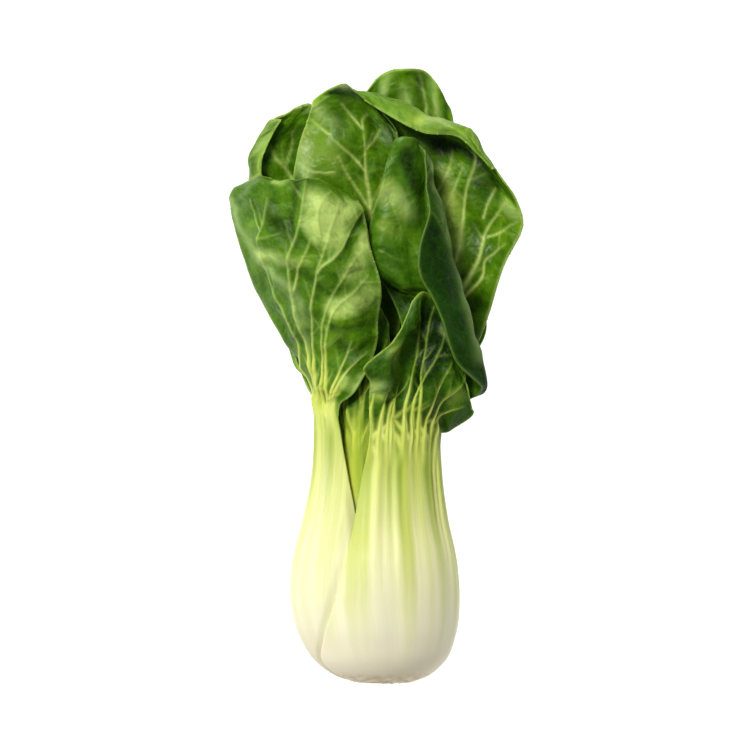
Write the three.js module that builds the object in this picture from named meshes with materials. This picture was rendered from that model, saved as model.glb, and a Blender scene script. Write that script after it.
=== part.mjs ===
// A head of bok choy lying on its back, in millimetres, with +Z up.
// The head runs along Y: the cut base is at -Y and the leaf tips are at +Y. Its front faces +Z.
// Every leaf is one smooth surface from its foot on the base to its tip. The pale stalk is the
// foot end of that surface and the green blade is the rest, each a closed solid of its own.
import * as THREE from 'three';

// Driving dimensions
const BUTT_TO_MIDDLE = 100.2;
const AXIS_HEIGHT = 23.6;
const BULB_DEPTH_RATIO = 0.88;
const NECK_DEPTH_RATIO = 0.71;
const BULB_END = 38;
const NECK_START = 76;
const NODE_GAP = 0.4;
const BLADE_THICKNESS = 0.75;
const STALK_EDGE = 1.3;

// How a stalk's middle thins towards its foot and its top, as shares of its thickness
const FOOT_SHARE = 0.75;
const TOP_SHARE = 0.55;

// The midrib: the share of the blade over which the stalk's thickness dies out, the rib's height
// over the blade at the foot, and its width as a share of the leaf's
const STALK_FADE = 0.3;
const MIDRIB_HEIGHT = 0.5;
const MIDRIB_WIDTH = 0.09;

// Ribs of the stalk start here and are full here, as distances from the butt
const RIBS_START = 22;
const RIBS_FULL = 60;

// The waved margin: the share of the blade over which it grows, and how far its left side lags
const WAVE_GROWS = 0.25;
const WAVE_LAG = 1.7;

// Rows from the tip over which the corners of the tip are rounded
const TIP_ROWS = 2.5;

// Bulb and neck outline: [radius, distance from the butt, sideways shift of the centre]
const OUTLINE = [
  [9.5, 0.9, 2.6],
  [14, 2.4, 2.2],
  [18.9, 5.4, 1.8],
  [22.3, 9.3, 1.3],
  [24.9, 15, 0.7],
  [26.7, 21.5, 0],
  [27.3, 29, -0.3],
  [27.1, 36, -0.3],
  [25.8, 42, -0.3],
  [24.2, 48, -0.2],
  [22.6, 55, 0.1],
  [21.3, 61, 0.4],
  [20.6, 68, 0.5],
  [20.3, 77, 0.7],
  [20.3, 88, 0.5],
  [20.5, 98, 0.5],
];

// Rings of leaves, from the outside in: depth of the stalk's outer face under the outline and
// thickness of its middle, each in the bulb and at the neck
const RINGS = {
  outer: { depth: [0, 0], thickness: [6.2, 4], steps: 2 },
  middle: { depth: [7.2, 5.3], thickness: [5, 2.8], steps: 1 },
  inner: { depth: [13, 8.8], thickness: [3.6, 2.4], steps: 1 },
};

// How an edge that another stalk covers dips under it
const TUCK_DEPTH = 3.6;
const TUCK_LESS_AT_NECK = 0.4;
const TUCK_END_DEG = 7;
const TUCK_START_DEG = 15;

const smooth = (a, b, x) => {
  const t = Math.min(1, Math.max(0, (x - a) / (b - a)));
  return t * t * (3 - 2 * t);
};

// A value read from a list of [place, value] pairs
function along(pairs, x) {
  const last = pairs.length - 1;
  if (x <= pairs[0][0]) return pairs[0][1];
  if (x >= pairs[last][0]) return pairs[last][1];
  const i = pairs.findIndex((p) => p[0] > x) - 1;
  const t = (x - pairs[i][0]) / (pairs[i + 1][0] - pairs[i][0]);
  return pairs[i][1] + (pairs[i + 1][1] - pairs[i][1]) * t;
}

// A smooth curve through points of any dimension, at its own spacing of knots
function through(points, knots, t) {
  const last = points.length - 1;
  let i = 0;
  while (i < last - 1 && t > knots[i + 1]) i += 1;
  const slope = (k, c) => {
    const a = Math.max(0, k - 1);
    const b = Math.min(last, k + 1);
    if (a === k || b === k) return (points[b][c] - points[a][c]) / (knots[b] - knots[a]);
    const h0 = knots[k] - knots[a];
    const h1 = knots[b] - knots[k];
    const d0 = (points[k][c] - points[a][c]) / h0;
    const d1 = (points[b][c] - points[k][c]) / h1;
    return (d0 * h1 + d1 * h0) / (h0 + h1);
  };
  const h = knots[i + 1] - knots[i];
  const s = (t - knots[i]) / h;
  const h00 = (1 + 2 * s) * (1 - s) * (1 - s);
  const h10 = s * (1 - s) * (1 - s);
  const h01 = s * s * (3 - 2 * s);
  const h11 = s * s * (s - 1);
  return points[i].map((p, c) =>
    h00 * p + h10 * h * slope(i, c) + h01 * points[i + 1][c] + h11 * h * slope(i + 1, c));
}

const even = (count) => Array.from({ length: count }, (_, i) => i / (count - 1));

function chordKnots(points) {
  const knots = [0];
  for (let i = 1; i < points.length; i += 1) {
    const d = Math.hypot(...points[i].map((p, c) => p - points[i - 1][c]));
    knots.push(knots[i - 1] + d);
  }
  return knots.map((k) => k / knots[knots.length - 1]);
}

const outlineKnots = chordKnots(OUTLINE.map(([r, y]) => [r, y]));

// A point of a stalk's outer face: its place along the outline from 0 to 1, its angle round the
// head's axis from the front, and its depth under the outline
function stalkPoint(place, angle, depth) {
  const step = 0.004;
  const at = through(OUTLINE, outlineKnots, place);
  const before = through(OUTLINE, outlineKnots, Math.max(0, place - step));
  const after = through(OUTLINE, outlineKnots, Math.min(1, place + step));
  const dr = after[0] - before[0];
  const dy = after[1] - before[1];
  const length = Math.hypot(dr, dy);
  const radius = at[0] - depth * dy / length;
  const y = at[1] + depth * dr / length;
  const flat = smooth(BULB_END, NECK_START, at[1]);
  const ratio = BULB_DEPTH_RATIO + (NECK_DEPTH_RATIO - BULB_DEPTH_RATIO) * flat;
  const radiusZ = at[0] * ratio - (at[0] - radius);
  const turn = THREE.MathUtils.degToRad(angle);
  return [at[2] + radius * Math.sin(turn), y, AXIS_HEIGHT + radiusZ * Math.cos(turn)];
}

// The leaf as a surface of u, from 0 to 1 across, and of v along, with whole numbers of v at its
// rows: first the stalk's rows and then the rows of the blade
function leafSurface(leaf) {
  const ring = RINGS[leaf.ring];
  const stalkPlaces = leaf.stalkRows.map(placeAt);
  const columns = even(leaf.rows[0].length);

  const stalkRow = (place, u) => {
    const y = through(OUTLINE, outlineKnots, place)[1];
    const from = along(leaf.from, y);
    const to = along(leaf.to, y);
    const angle = from + (to - from) * u;
    const neck = smooth(BULB_END, NECK_START, y);
    let depth = ring.depth[0] + (ring.depth[1] - ring.depth[0]) * neck;
    const hidden = 1 - smooth(leaf.tuckUntil - 6, leaf.tuckUntil + 4, y);
    const tuck = TUCK_DEPTH * (1 - TUCK_LESS_AT_NECK * neck) * hidden;
    if (leaf.tuckFrom) depth += tuck * (1 - smooth(from + TUCK_END_DEG, from + TUCK_START_DEG, angle));
    if (leaf.tuckTo) depth += tuck * smooth(to - TUCK_START_DEG, to - TUCK_END_DEG, angle);
    const ribbed = smooth(RIBS_START, RIBS_FULL, y) * Math.sin(Math.PI * u);
    depth -= leaf.rib * ribbed * (0.5 + 0.5 * Math.cos(2 * Math.PI * leaf.ribs * (u - 0.5)));
    return stalkPoint(place, angle, depth);
  };

  const end = leaf.stalkRows.length - 1 + leaf.rows.length;
  return (u, vSquare) => {
    const corner = Math.abs(2 * u - 1) ** 4 * smooth(end - TIP_ROWS, end, vSquare);
    const v = vSquare - leaf.tip * corner;
    const points = stalkPlaces.map((place) => stalkRow(place, u));
    for (const row of leaf.rows) points.push(through(row, columns, u));
    const knots = leaf.knots;
    const whole = Math.min(Math.floor(v), points.length - 2);
    const t = knots[whole] + (knots[whole + 1] - knots[whole]) * (v - whole);
    return through(points, knots, t);
  };
}

// Place along the outline, from 0 to 1, of a distance from the butt
function placeAt(y) {
  let low = 0;
  let high = 1;
  for (let i = 0; i < 40; i += 1) {
    const mid = (low + high) / 2;
    if (through(OUTLINE, outlineKnots, mid)[1] < y) low = mid;
    else high = mid;
  }
  return (low + high) / 2;
}

// Row spacing from the middle column, so that the surface runs evenly along the leaf
function rowKnots(leaf) {
  const angleAt = (y) => (along(leaf.from, y) + along(leaf.to, y)) / 2;
  const middle = leaf.stalkRows.map((y) => stalkPoint(placeAt(y), angleAt(y), RINGS[leaf.ring].depth[0]));
  const half = (leaf.rows[0].length - 1) / 2;
  for (const row of leaf.rows) middle.push(row[half] ?? row[Math.floor(half)]);
  const knots = [0];
  for (let i = 1; i < middle.length; i += 1) {
    const d = Math.hypot(...middle[i].map((p, c) => p - middle[i - 1][c]));
    knots.push(knots[i - 1] + Math.max(d, 3));
  }
  return knots;
}

// A closed sheet between a surface and its copy a thickness further in, with the same triangles
// on both faces
function sheet(surface, thickness, uCount, vList) {
  const eps = 1e-3;
  const outer = [];
  const inner = [];
  const du = new THREE.Vector3();
  const dv = new THREE.Vector3();
  const vEnd = vList[vList.length - 1];
  for (const v of vList) {
    for (let i = 0; i <= uCount; i += 1) {
      const u = i / uCount;
      const p = surface(u, v);
      const ua = surface(Math.max(0, u - eps), v);
      const ub = surface(Math.min(1, u + eps), v);
      const va = surface(u, Math.max(vList[0], v - eps));
      const vb = surface(u, Math.min(vEnd, v + eps));
      du.set(ub[0] - ua[0], ub[1] - ua[1], ub[2] - ua[2]);
      dv.set(vb[0] - va[0], vb[1] - va[1], vb[2] - va[2]);
      const n = du.cross(dv).normalize();
      const t = thickness(u, v);
      outer.push(p);
      inner.push([p[0] - n.x * t, p[1] - n.y * t, p[2] - n.z * t]);
    }
  }
  const row = uCount + 1;
  const size = outer.length;
  const last = vList.length - 1;
  const index = [];
  const quad = (a, b, c, d) => index.push(a, b, c, a, c, d);
  for (let j = 0; j < last; j += 1) {
    for (let i = 0; i < uCount; i += 1) {
      const a = j * row + i;
      const b = a + 1;
      const c = a + row + 1;
      const d = a + row;
      if ((i + j) % 2 === 0) {
        index.push(a, b, c, a, c, d);
        index.push(size + a, size + c, size + b, size + a, size + d, size + c);
      } else {
        index.push(a, b, d, b, c, d);
        index.push(size + a, size + d, size + b, size + b, size + d, size + c);
      }
    }
  }
  for (let i = 0; i < uCount; i += 1) {
    const a = i;
    const b = last * row + i;
    quad(a, size + a, size + a + 1, a + 1);
    quad(b, b + 1, size + b + 1, size + b);
  }
  for (let j = 0; j < last; j += 1) {
    const a = j * row;
    const b = a + uCount;
    quad(a, a + row, size + a + row, size + a);
    quad(b, size + b, size + b + row, b + row);
  }
  const geometry = new THREE.BufferGeometry();
  const positions = new Float32Array([...outer, ...inner].flat());
  geometry.setAttribute('position', new THREE.BufferAttribute(positions, 3));
  geometry.setIndex(index);
  geometry.computeVertexNormals();
  return geometry;
}

// The leaves. ring: where its stalk stands; from, to: the angles of the stalk's two edges round the
// head, as [distance from the butt, degrees]; tuckFrom, tuckTo: which edge another stalk covers, up
// to tuckUntil; ribs, rib: how many ribs the stalk has and their height; wave: height, count and
// start of the waves of the margin; tip: rows by which the corners of the tip are rounded; columns:
// how many faces the stalk has across; stalkRows: where along the stalk the surface is held; rows:
// the blade's rows of held points from foot to tip, each across the leaf in the sense of growing angle
const LEAVES = [
  {
    name: 'front_right',
    ring: 'outer',
    from: [[0, -64], [8, -60], [15, -44], [27, -28], [40, -21], [60, -16], [73, -12], [82, -6]],
    to: [[0, 106], [40, 109], [70, 106], [82, 100]],
    ribs: 5,
    rib: 0.7,
    wave: [0.7, 3, 0.4],
    tip: 0.5,
    columns: 24,
    stalkRows: [0.9, 3, 8, 16, 28, 40, 54, 68, 80],
    rows: [
      [[-2, 93, 38], [3, 92.5, 40.5], [8.5, 93, 37], [14.5, 92.5, 38.5], [19, 91, 36.5], [22.5, 89, 33],
        [25, 82.5, 26]],
      [[-1.5, 97.5, 39.5], [4, 97.5, 43], [10, 99.5, 35.5], [15.5, 99.5, 38.5], [21.5, 98, 38.5],
        [26.5, 94.5, 35.5], [31.5, 87.5, 28.5]],
      [[-3.5, 103, 45], [5, 104.5, 46], [11, 106, 37.5], [17, 106.5, 39], [23, 104.5, 39],
        [27, 100, 36.5], [30, 92, 32.5]],
      [[5.5, 110.5, 46], [10, 111.5, 45], [13.5, 112.5, 39.5], [18.5, 113, 39], [23, 111, 39],
        [26.5, 106, 37.5], [29, 98, 35]],
      [[10, 119, 45], [13, 119.5, 44], [16.5, 120.5, 40.5], [19.5, 120.5, 39], [23, 118.5, 38.5],
        [26, 114, 38], [27.5, 107.5, 37]],
      [[13.5, 128.5, 43.5], [15.5, 127.5, 42.5], [17.5, 126, 41], [20, 125, 39.5], [22.5, 123, 38.5],
        [24.5, 120, 38.5], [26, 115.5, 38]],
    ],
  },
  {
    name: 'front_left',
    ring: 'outer',
    from: [[0, -141], [40, -139], [70, -128], [90, -108]],
    to: [[0, -57], [8, -53], [15, -37], [27, -21], [40, -14], [50, -15.5], [60, -20], [73, -26],
      [82, -30.5], [92, -36]],
    tuckTo: true,
    tuckUntil: 60,
    ribs: 4,
    rib: 0.6,
    wave: [0.9, 3.5, 1.2],
    tip: 0.4,
    columns: 18,
    stalkRows: [0.9, 3, 8, 16, 28, 40, 54, 68, 80, 90],
    rows: [
      [[-23, 103, 22.5], [-21.5, 101.5, 28.5], [-18, 99.5, 33], [-13, 97, 35.5], [-8.5, 94.5, 35]],
      [[-29.5, 110, 22], [-25, 110, 30], [-18, 109.5, 35.5], [-8.5, 107.5, 38.5], [-0.5, 107.5, 37]],
      [[-36, 123, 22], [-28.5, 122.5, 34], [-18.5, 120.5, 40.5], [-8, 118.5, 42], [1, 118, 39.5]],
      [[-41.5, 135, 24], [-32.5, 134, 38], [-21, 132.5, 44.5], [-10, 130.5, 45], [1.5, 129, 41.5]],
      [[-45.5, 147, 24], [-36.5, 145.5, 40], [-25, 144, 47], [-13, 142.5, 47], [-2, 142.5, 43]],
      [[-47.4, 154.5, 24], [-40, 154.5, 38], [-27.5, 154, 46.5], [-14.5, 153, 46], [-4, 153, 42]],
      [[-46, 158.5, 23.5], [-40.5, 161, 34], [-29, 163, 43], [-16.5, 160.5, 43], [-9, 158.5, 40]],
      [[-43, 160, 24], [-37.5, 162.5, 30], [-28.5, 164, 38.5], [-17.5, 161, 39.5], [-10.5, 159.5, 38]],
    ],
  },
  {
    name: 'back_left',
    ring: 'outer',
    from: [[0, 173.5], [60, 173.5], [84, 177]],
    to: [[0, 226], [40, 228], [84, 222]],
    tuckTo: true,
    tuckUntil: 62,
    ribs: 3,
    rib: 0.5,
    wave: [0.6, 3, 0],
    tip: 0.6,
    columns: 12,
    stalkRows: [0.9, 3, 8, 16, 28, 40, 54, 68, 84],
    rows: [
      [[-3, 96, 7], [-7.5, 97.5, 5.5], [-13, 98.5, 5.5], [-18.5, 97.5, 7], [-22.5, 96, 10]],
      [[-3, 114, 4.5], [-7.5, 116, 2.5], [-13.5, 117, 2], [-21, 116, 2.5], [-27.5, 113.5, 5]],
      [[-2.5, 132.5, 4.5], [-9, 135, 2], [-17.5, 136, 0], [-25.5, 135, 2], [-33.5, 132.5, 5]],
      [[-3.5, 149.5, 5], [-11, 153, 2.5], [-20, 154, -0.4], [-29, 153, 2.5], [-36.5, 149.5, 5.5]],
      [[-6.5, 162.5, 7], [-12, 167, 4.5], [-20, 168.5, 3], [-27.5, 166.5, 4], [-33.5, 162, 6.5]],
      [[-10, 168.5, 10.5], [-14.5, 172.5, 8.5], [-19, 173, 7.5], [-24, 172, 8], [-28, 168, 9.5]],
    ],
  },
  {
    name: 'back_right',
    ring: 'outer',
    from: [[0, 99], [40, 102], [70, 104], [84, 112]],
    to: [[0, 177], [60, 177], [84, 171]],
    tuckFrom: true,
    tuckTo: true,
    tuckUntil: 80,
    ribs: 3,
    rib: 0.5,
    wave: [0.6, 3, 2],
    tip: 0.6,
    columns: 12,
    stalkRows: [0.9, 3, 8, 16, 28, 40, 54, 68, 84],
    rows: [
      [[24, 96, 8], [20, 98, 6], [14.5, 98.5, 5.5], [8.5, 97.5, 6], [4, 96, 7.5]],
      [[35.5, 112.5, 13], [26.5, 114, 5.5], [17, 115.5, 3], [8.5, 115, 3.5], [1.5, 113, 5]],
      [[36, 124.5, 13], [30, 129.5, 5], [19, 131.5, 0.4], [9, 131, 2.5], [1.5, 129.5, 4]],
      [[36.5, 144.5, 10], [29, 148.5, 3.5], [19, 150.5, -0.4], [9.5, 149.5, 2.5], [1.5, 147, 4.5]],
      [[34.5, 159.5, 9], [28, 164.5, 4.5], [19, 167, 2.5], [10.5, 166, 4], [3.5, 161.5, 6.5]],
      [[32, 167.5, 10.5], [26.5, 174, 8], [19.5, 176.5, 7], [12.5, 174.5, 7.5], [6.5, 169.5, 9]],
    ],
  },
  {
    name: 'folded_front',
    ring: 'middle',
    from: [[0, 50], [78, 50]],
    to: [[0, 107], [50, 103], [78, 104]],
    ribs: 3,
    rib: 0.3,
    wave: [0.7, 3, 2.4],
    tip: 0.3,
    columns: 12,
    stalkRows: [0.9, 5, 14, 28, 44, 60, 76],
    rows: [
      [[24, 88, 19.5], [23, 89.5, 18.5], [20.5, 90, 18.5], [18, 90, 19], [15.5, 90, 20], [13, 89.5, 21.5],
        [11, 89, 23.5]],
      [[34.5, 96, 38], [35.2, 95, 33], [29.5, 96.5, 27.5], [22.5, 98, 27.5], [17, 98.5, 28], [12, 98.5, 28.5],
        [8, 98, 29]],
      [[25.5, 105.5, 44], [33.5, 106.5, 38], [29, 109, 32.5], [23.5, 109, 32], [18, 109, 32.5],
        [13, 108.5, 32.5], [8.5, 107.5, 32.5]],
      [[21.5, 117.5, 46], [31.5, 116, 39.5], [27, 118, 33.5], [22, 118.5, 32.5], [17, 118.5, 32.5],
        [12.5, 118, 33], [8, 117.5, 33.5]],
      [[18, 125.5, 48], [29, 125, 40], [24, 126, 33.5], [19, 127, 33], [14, 127, 33.5], [9.5, 127, 34],
        [4, 127, 34]],
      [[14.5, 131.5, 48.5], [27, 133, 40], [21, 133, 34.5], [15.5, 132.5, 36], [10.5, 131.5, 38],
        [5.5, 132, 39], [0, 133, 37.5]],
      [[14, 140, 48], [25, 141.5, 39.5], [19, 142, 34.5], [13, 142, 37], [8, 142, 39], [2.5, 141.5, 39.5],
        [-2.5, 140.5, 37.5]],
      [[17, 151.5, 45.5], [22.5, 152.5, 39], [17, 152.5, 35], [12.5, 152.5, 37], [8, 152.5, 39.5],
        [3.5, 151.5, 40], [-1, 150, 38]],
      [[16.5, 160, 43], [20, 161, 38.5], [16, 161.5, 35.5], [12.5, 161.5, 38], [8.5, 161, 40.5],
        [4.5, 160, 41], [1, 157.5, 39.5]],
      [[16.5, 166.5, 41], [18, 168.5, 38], [15.5, 170, 37], [12.5, 170.5, 39], [9, 170.5, 41],
        [6, 169.5, 41.5], [3.5, 167, 40.5]],
      [[16, 171, 39.5], [15.5, 173, 38.5], [13.5, 175, 38.5], [12, 176, 39.5], [10, 176.5, 41], [8, 176, 41],
        [6.5, 174, 40.5]],
    ],
  },
  {
    name: 'right_hooded',
    ring: 'middle',
    from: [[0, 118], [88, 118]],
    to: [[0, 164], [88, 164]],
    ribs: 2,
    rib: 0.3,
    wave: [0.8, 3.5, 0.9],
    tip: 0.3,
    columns: 10,
    stalkRows: [0.9, 5, 14, 28, 44, 60, 74, 88],
    rows: [
      [[30.5, 106, 19], [25.5, 107, 18], [20, 106.5, 17], [15, 106, 16.5], [11, 105, 16.5]],
      [[36.5, 120, 23], [30, 122, 22.5], [22.5, 122.5, 21.5], [15, 121.5, 20], [10, 120.5, 19]],
      [[41.5, 135.5, 29], [34, 137.5, 25.5], [25, 138.5, 23.5], [16.5, 137.5, 22], [8, 136, 20.5]],
      [[47.5, 148.5, 33], [38, 152.5, 28], [27, 154, 25], [16.5, 153, 23.5], [6, 151, 22]],
      [[43.5, 158.5, 34], [36, 166, 30], [26, 169, 26.5], [14.5, 168.5, 24], [3, 166, 23]],
      [[38.5, 165, 36], [31.5, 173, 31.5], [21.5, 179, 28], [9, 183, 25.5], [-2, 184.5, 25]],
      [[37.5, 166, 38], [27.5, 179, 37], [16, 185, 34.5], [4.5, 191, 32.5], [-4, 194, 31]],
      [[36.5, 165.5, 39], [26.5, 177.5, 41], [15.5, 181.5, 41], [4.5, 187, 40], [-4, 192.5, 35.5]],
      [[36, 164.5, 39.2], [26, 175.5, 41], [15.5, 178, 41.5], [5, 183, 41], [-3.5, 191, 38]],
    ],
  },
  {
    name: 'top_back',
    ring: 'middle',
    from: [[0, 171], [94, 171]],
    to: [[0, 214], [60, 211], [94, 202]],
    ribs: 2,
    rib: 0.3,
    wave: [0.6, 2.5, 1],
    tip: 0.4,
    columns: 10,
    stalkRows: [0.9, 5, 14, 28, 44, 60, 76, 94],
    rows: [
      [[8.5, 110, 13], [4.5, 111, 12], [0, 111.5, 11.5], [-3.5, 111, 12], [-7.5, 110, 13]],
      [[13.5, 129.5, 13], [8, 131, 11], [2, 131.5, 10.5], [-3, 131, 11], [-7.5, 129.5, 12.5]],
      [[19, 152, 15], [12, 154, 12.5], [4.5, 155, 12], [-2, 154, 12], [-7.5, 152, 13.5]],
      [[24, 173, 18], [15.5, 175.5, 18], [7.5, 177, 18], [-0.5, 175.5, 17.5], [-7, 173, 18]],
      [[25, 182.5, 19.5], [17, 189.5, 22.5], [8.5, 191, 24], [1, 189.5, 23], [-5.5, 186.5, 22]],
      [[22.5, 189.5, 21], [17, 198, 25], [9, 199.5, 27], [2, 197.5, 26], [-3.5, 193, 24.5]],
    ],
  },
  {
    name: 'left_back',
    ring: 'middle',
    from: [[0, 221], [60, 219], [88, 211]],
    to: [[0, 290], [60, 284], [88, 246]],
    ribs: 3,
    rib: 0.3,
    wave: [0.7, 3, 0.2],
    tip: 0.3,
    columns: 10,
    stalkRows: [0.9, 5, 14, 28, 44, 60, 74, 88],
    rows: [
      [[-11.5, 107.5, 14], [-14.5, 108.5, 12.5], [-19, 108.5, 11.5], [-23.5, 107.5, 11.5], [-26.5, 104.5, 12],
        [-25.5, 103, 15.5]],
      [[-11.5, 124.5, 13], [-16, 126, 10.5], [-22, 126.5, 9], [-28, 125.5, 8], [-33.5, 123.5, 9],
        [-31, 122, 13]],
      [[-13.5, 144.5, 15], [-18, 146, 12.5], [-24.5, 146.5, 10.5], [-32, 145.5, 9], [-39, 144, 9.5],
        [-36.5, 143, 14]],
      [[-15.5, 164, 20], [-20.5, 166, 18], [-27.5, 166, 16], [-35, 164, 14], [-41, 162, 13],
        [-38, 161.5, 18]],
      [[-17, 175.5, 23], [-22.5, 177.5, 22], [-29, 176.5, 20], [-36, 174, 18], [-42, 169.5, 17.5],
        [-38.5, 170.5, 22]],
      [[-17.5, 182, 25], [-22, 184, 24.5], [-27.5, 183, 24], [-32.5, 180.5, 22], [-38, 177, 21],
        [-34, 177.5, 25]],
      [[-18, 187.5, 28], [-21.5, 189, 28], [-25.5, 187.5, 27.5], [-29.5, 185, 26], [-33.5, 182.5, 24],
        [-30, 182.5, 27]],
    ],
  },
  {
    name: 'centre_tall',
    ring: 'inner',
    from: [[0, 145], [92, 140]],
    to: [[0, 235], [92, 235]],
    ribs: 3,
    rib: 0.2,
    wave: [0.7, 3, 1.6],
    tip: 0.15,
    columns: 10,
    stalkRows: [0.9, 6, 18, 34, 50, 66, 80, 92],
    rows: [
      [[7, 107.5, 18.5], [3.5, 109.5, 17], [-1, 110.5, 17], [-5.5, 109.5, 17], [-10, 107.5, 18.5]],
      [[9, 127, 23.5], [4.5, 128.5, 22.5], [-1, 129.5, 22], [-10.5, 128.5, 22.5], [-18.5, 126, 24]],
      [[9, 143, 28.5], [4.5, 145, 27.5], [-1, 146, 26.5], [-12.5, 145, 27.5], [-24.5, 143, 27.5]],
      [[9.5, 160.5, 31], [4.5, 162.5, 31], [-2, 163, 31], [-14.5, 162, 33], [-26.5, 160, 30.5]],
      [[7.5, 173, 32], [2.5, 175, 32], [-3, 176, 32], [-13.5, 175, 34.5], [-24.5, 173, 31.5]],
      [[6, 180, 31.5], [1, 183, 31.5], [-4.5, 185.5, 32.5], [-13.5, 185, 35], [-21.5, 183, 32]],
      [[1, 186, 30.5], [-3.5, 189.5, 31.5], [-9, 193.5, 35.5], [-14, 192.5, 37.5], [-19, 189.5, 34.5]],
    ],
  },
  {
    name: 'heart_front',
    ring: 'middle',
    from: [[0, -52], [80, -46]],
    to: [[0, 4], [80, 6]],
    ribs: 2,
    rib: 0.3,
    wave: [0.3, 2, 0],
    tip: 0.5,
    columns: 10,
    stalkRows: [0.9, 5, 14, 28, 44, 60, 80],
    rows: [
      [[-10, 88.5, 30], [-6.5, 89.5, 32], [-2.5, 89.5, 32.5], [1, 88.5, 31]],
      [[-8.5, 101.5, 30], [-4.5, 102.5, 32.5], [0, 103, 32.5], [4, 102, 30.5]],
      [[-7.5, 112.5, 29.5], [-3.5, 113.5, 32], [0.5, 114, 32], [4.5, 113, 30]],
      [[-4, 120.5, 29], [-1.5, 122.5, 31], [1, 122.5, 31], [4, 121, 29.5]],
    ],
  },
  {
    name: 'heart_left',
    ring: 'inner',
    from: [[0, 262], [80, 264]],
    to: [[0, 345], [80, 342]],
    ribs: 2,
    rib: 0.2,
    wave: [0.3, 2, 1],
    tip: 0.5,
    columns: 8,
    stalkRows: [0.9, 6, 18, 34, 50, 66, 80],
    rows: [
      [[-11.5, 88.5, 24.5], [-10.5, 89.5, 26.5], [-8.5, 90.5, 28], [-6, 89.5, 29]],
      [[-14, 100.5, 24.5], [-11.5, 102, 26.5], [-8.5, 102.5, 28], [-5.5, 101.5, 28.5]],
      [[-15.5, 111.5, 24], [-12, 113, 26.5], [-8, 113, 28], [-5, 112.5, 28]],
      [[-12.5, 118.5, 25.5], [-10.5, 121, 27], [-8, 121, 27.5], [-6.5, 119.5, 27.5]],
    ],
  },
];

// Colours of the stalks and blades, outer leaves first
const PALE = { color: 0xe6e8b8, roughness: 0.45, metalness: 0 };
const HEART_PALE = { color: 0xd0db70, roughness: 0.45, metalness: 0 };
const GREEN = { color: 0x5d8a2a, roughness: 0.5, metalness: 0 };
const DARK_GREEN = { color: 0x3a6414, roughness: 0.45, metalness: 0 };
const CUT_FACE = { color: 0xd8cfae, roughness: 0.8, metalness: 0 };

// Thickness of a leaf: its stalk is thick in the middle and thins to its edges and its top, and
// its blade keeps a slim midrib
function leafThickness(leaf) {
  const ring = RINGS[leaf.ring];
  const stalkEnd = leaf.stalkRows.length - 1;
  const bladeEnd = stalkEnd + leaf.rows.length;
  return (u, v) => {
    const across = Math.pow(Math.max(0, 1 - (2 * u - 1) ** 2), 0.8);
    if (v <= stalkEnd) {
      const i = Math.min(Math.floor(v), stalkEnd - 1);
      const y = leaf.stalkRows[i] + (leaf.stalkRows[i + 1] - leaf.stalkRows[i]) * (v - i);
      const neck = smooth(BULB_END, NECK_START, y);
      const middle = ring.thickness[0] + (ring.thickness[1] - ring.thickness[0]) * neck;
      const top = 1 - (1 - TOP_SHARE) * smooth(NECK_START, leaf.stalkRows[stalkEnd], y);
      const foot = FOOT_SHARE + (1 - FOOT_SHARE) * smooth(2, 12, y);
      return STALK_EDGE + (middle * top * foot - STALK_EDGE) * across;
    }
    const share = (v - stalkEnd) / (bladeEnd - stalkEnd);
    const start = ring.thickness[1] * TOP_SHARE;
    const thinning = 1 - smooth(0, STALK_FADE, share);
    const plain = BLADE_THICKNESS + (STALK_EDGE - BLADE_THICKNESS) * thinning;
    const midrib = (start - STALK_EDGE) * thinning + MIDRIB_HEIGHT * (1 - share);
    return plain + Math.max(0, midrib) * Math.exp(-(((u - 0.5) / MIDRIB_WIDTH) ** 2)) +
      Math.max(0, start - plain) * thinning * across;
  };
}

// Rows of v for one closed solid, a share of a row apart
function stations(start, end, perRow) {
  const list = [start];
  for (let row = Math.floor(start); row < end; row += 1) {
    for (let k = 0; k < perRow; k += 1) {
      const v = row + k / perRow;
      if (v > start + 0.15 && v < end - 0.15) list.push(v);
    }
  }
  list.push(end);
  return list;
}

function leafMeshes(leaf) {
  leaf.knots = rowKnots(leaf);
  const plain = leafSurface(leaf);
  const thickness = leafThickness(leaf);
  const stalkEnd = leaf.stalkRows.length - 1;
  const bladeEnd = stalkEnd + leaf.rows.length;
  const [height, count, phase] = leaf.wave;
  const surface = (u, v) => {
    const p = plain(u, v);
    const blade = Math.max(0, (v - stalkEnd) / (bladeEnd - stalkEnd));
    const margin = Math.abs(2 * u - 1) ** 3 * smooth(0, WAVE_GROWS, blade);
    const lag = u < 0.5 ? 0 : WAVE_LAG;
    p[2] += height * margin * Math.sin(2 * Math.PI * count * blade + phase + lag);
    // What lies on the surface is pressed flat there
    p[2] = Math.max(0, p[2]);
    return p;
  };
  const halfGap = NODE_GAP / (leaf.knots[stalkEnd + 1] - leaf.knots[stalkEnd]);
  const steps = RINGS[leaf.ring].steps;
  const stalk = sheet(surface, thickness, leaf.columns, stations(0, stalkEnd - halfGap, steps));
  const bladeColumns = Math.max(12, 2 * (leaf.rows[0].length - 1));
  const blade = sheet(surface, thickness, bladeColumns, stations(stalkEnd + halfGap, bladeEnd, 2));
  const heart = leaf.name.startsWith('heart');
  const stalkMesh = new THREE.Mesh(stalk, new THREE.MeshStandardMaterial(heart ? HEART_PALE : PALE));
  stalkMesh.name = `${leaf.name}_stalk`;
  const outer = leaf.ring === 'outer';
  const bladeMesh = new THREE.Mesh(blade, new THREE.MeshStandardMaterial(outer ? GREEN : DARK_GREEN));
  bladeMesh.name = `${leaf.name}_blade`;
  return [stalkMesh, bladeMesh];
}

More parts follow.
